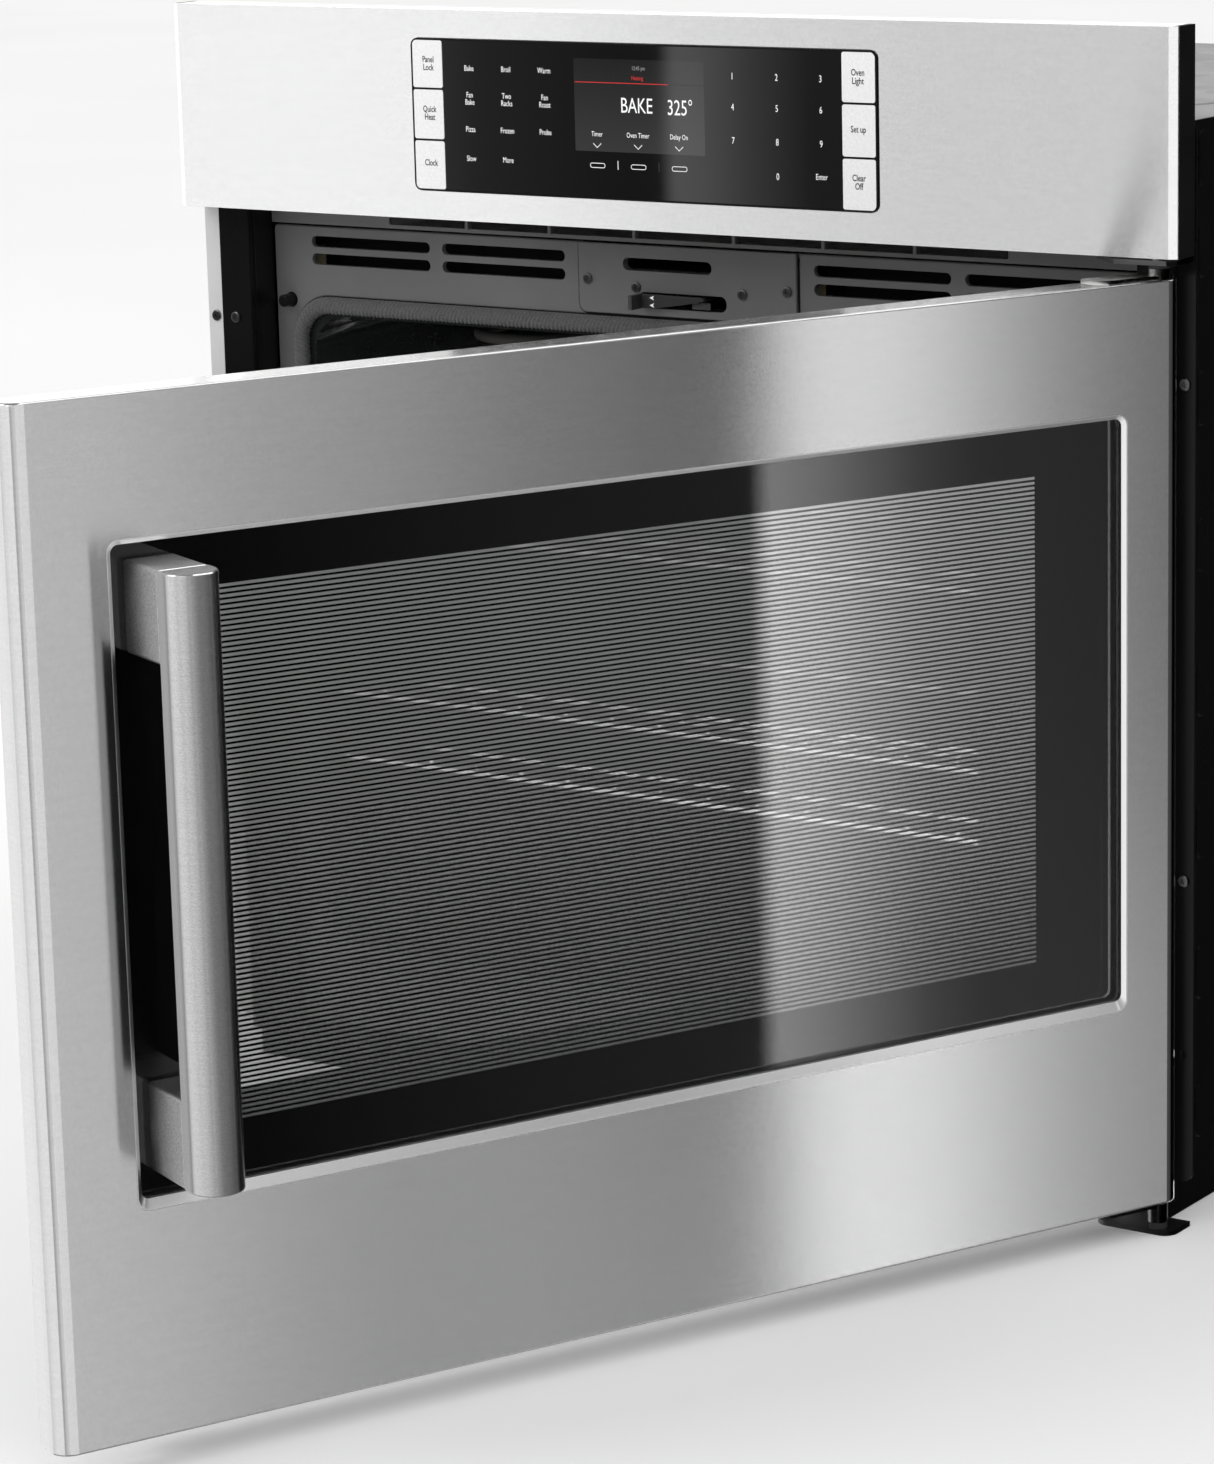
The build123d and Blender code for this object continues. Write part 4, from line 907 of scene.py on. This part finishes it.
def graded_card(name, centre, along, width, height, stops, group):
    """A tall light whose brightness runs along its width by a few stops: (metres along, brightness)."""
    light = bpy.data.lights.new(name, "AREA")
    light.shape = "RECTANGLE"
    light.size = width
    light.size_y = height
    light.energy = width * height * pi
    light.use_nodes = True
    tree = light.node_tree
    emission = tree.nodes["Emission"]
    place = tree.nodes.new("ShaderNodeNewGeometry")
    dot = tree.nodes.new("ShaderNodeVectorMath")
    dot.operation = "DOT_PRODUCT"
    dot.inputs[1].default_value = along
    tree.links.new(place.outputs["Position"], dot.inputs[0])
    scale = tree.nodes.new("ShaderNodeMapRange")
    start = Vector(centre).dot(Vector(along)) - width / 2
    scale.inputs["From Min"].default_value = start
    scale.inputs["From Max"].default_value = start + width
    tree.links.new(dot.outputs["Value"], scale.inputs["Value"])
    ramp = tree.nodes.new("ShaderNodeValToRGB")
    tree.links.new(scale.outputs["Result"], ramp.inputs["Fac"])
    peak = max(brightness for _, brightness in stops)
    elements = ramp.color_ramp.elements
    while len(elements) > 1:
        elements.remove(elements[-1])
    for index, (where, brightness) in enumerate(stops):
        position = (where - start) / width
        element = elements[0] if index == 0 else elements.new(position)
        element.position = position
        element.color = (*gray(brightness / peak), 1)
    tree.links.new(ramp.outputs["Color"], emission.inputs["Color"])
    emission.inputs["Strength"].default_value = peak
    holder = bpy.data.objects.new(name, light)
    bpy.context.scene.collection.objects.link(holder)
    right = Vector(along)
    up = Vector((0, 0, 1))
    back = right.cross(up)
    turn = Matrix((right, up, back)).transposed().to_4x4()
    holder.matrix_world = Matrix.Translation(centre) @ turn
    holder.visible_camera = False
    holder.light_linking.receiver_collection = group
    if group.name in self_shadowed_groups:
        holder.light_linking.blocker_collection = group


def flag(name, centre, along, width, height, finish):
    """A black board just behind a card, seen in reflections only, so that the room doesn't shine through."""
    gap_behind_card = 0.05
    behind = Vector(along).cross(Vector((0, 0, 1))) * gap_behind_card
    side = Vector(along) * width / 2
    up = Vector((0, 0, height / 2))
    bm = bmesh.new()
    corners = (-side - up, side - up, side + up, -side + up)
    bm.faces.new([bm.verts.new(Vector(centre) + behind + corner) for corner in corners])
    piece = bpy.data.objects.new(name, mesh_from(bm, name))
    bpy.context.scene.collection.objects.link(piece)
    paint(piece, finish)
    piece.visible_camera = False
    piece.visible_diffuse = False
    piece.visible_shadow = False
    piece.visible_transmission = False


def soft_box(name, centre, target, size, level):
    """A plain soft light aimed at a point."""
    light = bpy.data.lights.new(name, "AREA")
    light.shape = "RECTANGLE"
    light.size, light.size_y = size
    light.energy = level * size[0] * size[1] * pi
    holder = bpy.data.objects.new(name, light)
    bpy.context.scene.collection.objects.link(holder)
    aim = (Vector(centre) - Vector(target)).to_track_quat("Z", "Y")
    holder.matrix_world = Matrix.Translation(centre) @ aim.to_matrix().to_4x4()
    holder.visible_camera = False
    return holder


# Only the group's own pieces shade these groups from their cards.
self_shadowed_groups = ("door_pieces", "fascia_pieces")
# Each card's centre, the way it runs, its width and its height.
card_places = {
    "right": ((3.0, -0.9, 0.5), (0, 1, 0), 6.2, 9.0),
    "front": ((-0.6, -4.0, 0.5), (1, 0, 0), 7.2, 9.0),
    "left": ((-4.2, -1.0, 0.5), (0, -1, 0), 6.0, 9.0),
    "back": ((-2.8, 3.5, 0.5), (-1, 0, 0), 6.8, 8.0),
    "low": ((2.98, -0.1, -2.42), (0, 1, 0), 1.2, 4.0),
}
flag_places = {
    "right": card_places["right"],
    "front": card_places["front"],
    "far": ((3.6, 4.4, 0.5), (-1, 0, 0), 6.0, 9.0),
}
# Each group has its pieces and, for each card, its brightness at places along it.
card_groups = {
    "door": (
        ("door_skin", "window_trim"),
        {
            "right": (
                (-3.90, 1.05),
                (-1.30, 1.02),
                (-1.02, 0.73),
                (-0.94, 0.72),
                (-0.78, 0.54),
                (-0.60, 0.42),
                (-0.44, 0.28),
                (-0.36, 0.24),
                (-0.288, 0.19),
                (-0.22, 0.11),
                (-0.162, 0.08),
                (-0.145, 1.04),
                (-0.04, 1.06),
                (0.03, 0.95),
                (0.098, 0.71),
                (0.165, 0.49),
                (0.232, 0.36),
                (0.30, 0.25),
                (0.60, 0.10),
                (2.20, 0.04),
            ),
            "front": (
                (-4.2, 0.90),
                (-1.0, 1.15),
                (0.80, 1.15),
                (0.95, 0.52),
                (1.30, 0.60),
                (1.9, 0.85),
                (3.0, 0.95),
            ),
            "left": ((-2.0, 0.90), (4.0, 0.90)),
            "back": ((-0.6, 1.3), (6.2, 1.3)),
            "low": ((-0.64, 0.0), (-0.44, 0.17), (0.45, 0.20)),
        },
    ),
    "handle": (
        ("handle_bar", "handle_posts"),
        {
            "right": (
                (-3.90, 0.50),
                (-3.00, 0.41),
                (-1.90, 0.24),
                (-1.10, 0.18),
                (-0.10, 0.10),
                (0.86, 0.05),
                (2.20, 0.035),
            ),
            "front": ((-4.2, 0.98), (-3.2, 0.95), (-0.93, 0.85), (0.47, 0.76), (1.90, 0.57), (3.00, 0.50)),
            "left": ((-2.0, 0.52), (4.0, 0.52)),
            "back": ((-0.6, 1.2), (6.2, 1.2)),
        },
    ),
    "fascia": (
        ("control_fascia",),
        {
            "front": (
                (-3.48, 1.42),
                (-2.79, 1.36),
                (-2.47, 1.09),
                (-2.00, 0.92),
                (-1.20, 0.89),
                (0.20, 1.45),
                (3.00, 1.45),
            ),
            "left": ((-2.0, 1.3), (4.0, 1.3)),
            "back": ((-0.6, 1.3), (6.2, 1.3)),
        },
    ),
    "pane": (
        ("outer_door_glass",),
        {
            "right": (
                (-1.30, 0.01),
                (-0.78, 0.02),
                (-0.44, 0.08),
                (-0.165, 0.10),
                (-0.158, 1.72),
                (-0.04, 0.74),
                (0.03, 0.32),
                (0.10, 0.17),
                (0.30, 0.10),
                (2.20, 0.05),
            ),
        },
    ),
    "pale_lines": (
        ("window_pale_lines",),
        {
            "right": (
                (-1.60, 0.02),
                (-0.44, 0.05),
                (-0.163, 0.05),
                (-0.160, 1.25),
                (-0.09, 1.15),
                (-0.03, 0.85),
                (0.03, 0.60),
                (0.095, 0.48),
                (0.30, 0.32),
            ),
        },
    ),
    "control_glass": (
        ("control_glass", "touch_pads", "display_face"),
        {
            "front": (
                (-3.00, 0.60),
                (-2.84, 0.24),
                (-2.575, 0.09),
                (-2.483, 0.09),
                (-2.475, 1.64),
                (-2.414, 1.49),
                (-2.31, 0.67),
                (-2.20, 0.17),
                (-1.60, 0.15),
            ),
        },
    ),
    "racks": (
        ("lower_rack", "middle_rack", "upper_rack"),
        {
            "front": ((-4.2, 2.4), (-1.0, 2.4)),
        },
    ),
}


def studio():
    """A pale floor and an even room, graded cards for the metal and glass, and four soft lights."""
    floor()
    world_light(camera_tone=1.0, diffuse_tone=1.1, glossy_tone=0.3)
    for group_name, (members, cards) in card_groups.items():
        group = light_group(f"{group_name}_pieces", [bpy.data.objects[member] for member in members])
        for side, stops in cards.items():
            graded_card(f"{group_name}_{side}_card", *card_places[side], stops, group)
    matt_black = enamel("flag_black", 0.0, 1.0, shine=0.0)
    for side, place in flag_places.items():
        flag(f"{side}_flag", *place, matt_black)
    soft_box("key_light", (-1.6, -2.6, 2.6), (0, -0.2, 0.45), (1.6, 1.6), 3.4)
    soft_box("front_fill", (0.6, -3.2, 1.5), (0, 0, 0.4), (1.4, 1.4), 0.7)
    overhead, door_top = (2.4, 1.4, 4.8), (0.2, -0.6, 0.59)
    for name, group_name, level in (
        ("door_edge_light", "door_pieces", 1.7),
        ("handle_cap_light", "handle_pieces", 3.6),
    ):
        top_light = soft_box(name, overhead, door_top, (5.5, 5.5), level)
        top_light.light_linking.receiver_collection = bpy.data.collections[group_name]


def camera():
    """The camera: 34.9 degrees to the right of the oven's front and 12.8 degrees up."""
    azimuth, elevation, roll = 0.6094, 0.2236, -0.0252
    place = Vector((1.6379, -2.7030, 0.9393))
    back = Vector((sin(azimuth) * cos(elevation), -cos(azimuth) * cos(elevation), sin(elevation)))
    level = Vector((cos(azimuth), sin(azimuth), 0))
    upright = back.cross(level)
    right = cos(roll) * level + sin(roll) * upright
    up = -sin(roll) * level + cos(roll) * upright
    data = bpy.data.cameras.new("camera")
    data.sensor_fit = "VERTICAL"
    data.sensor_height = 36.0
    data.lens = 113.25
    data.clip_end = 200
    holder = bpy.data.objects.new("camera", data)
    bpy.context.scene.collection.objects.link(holder)
    turn = Matrix((right, up, back)).transposed().to_4x4()
    holder.matrix_world = Matrix.Translation(place) @ turn
    bpy.context.scene.camera = holder


# ---------------------------------------------------------------- build
paint_cad_nodes()
window_print()
braided_gasket()
cover_gap()
panel_graphics()
latch_marks()
studio()
camera()
bpy.context.scene.view_settings.view_transform = "Standard"
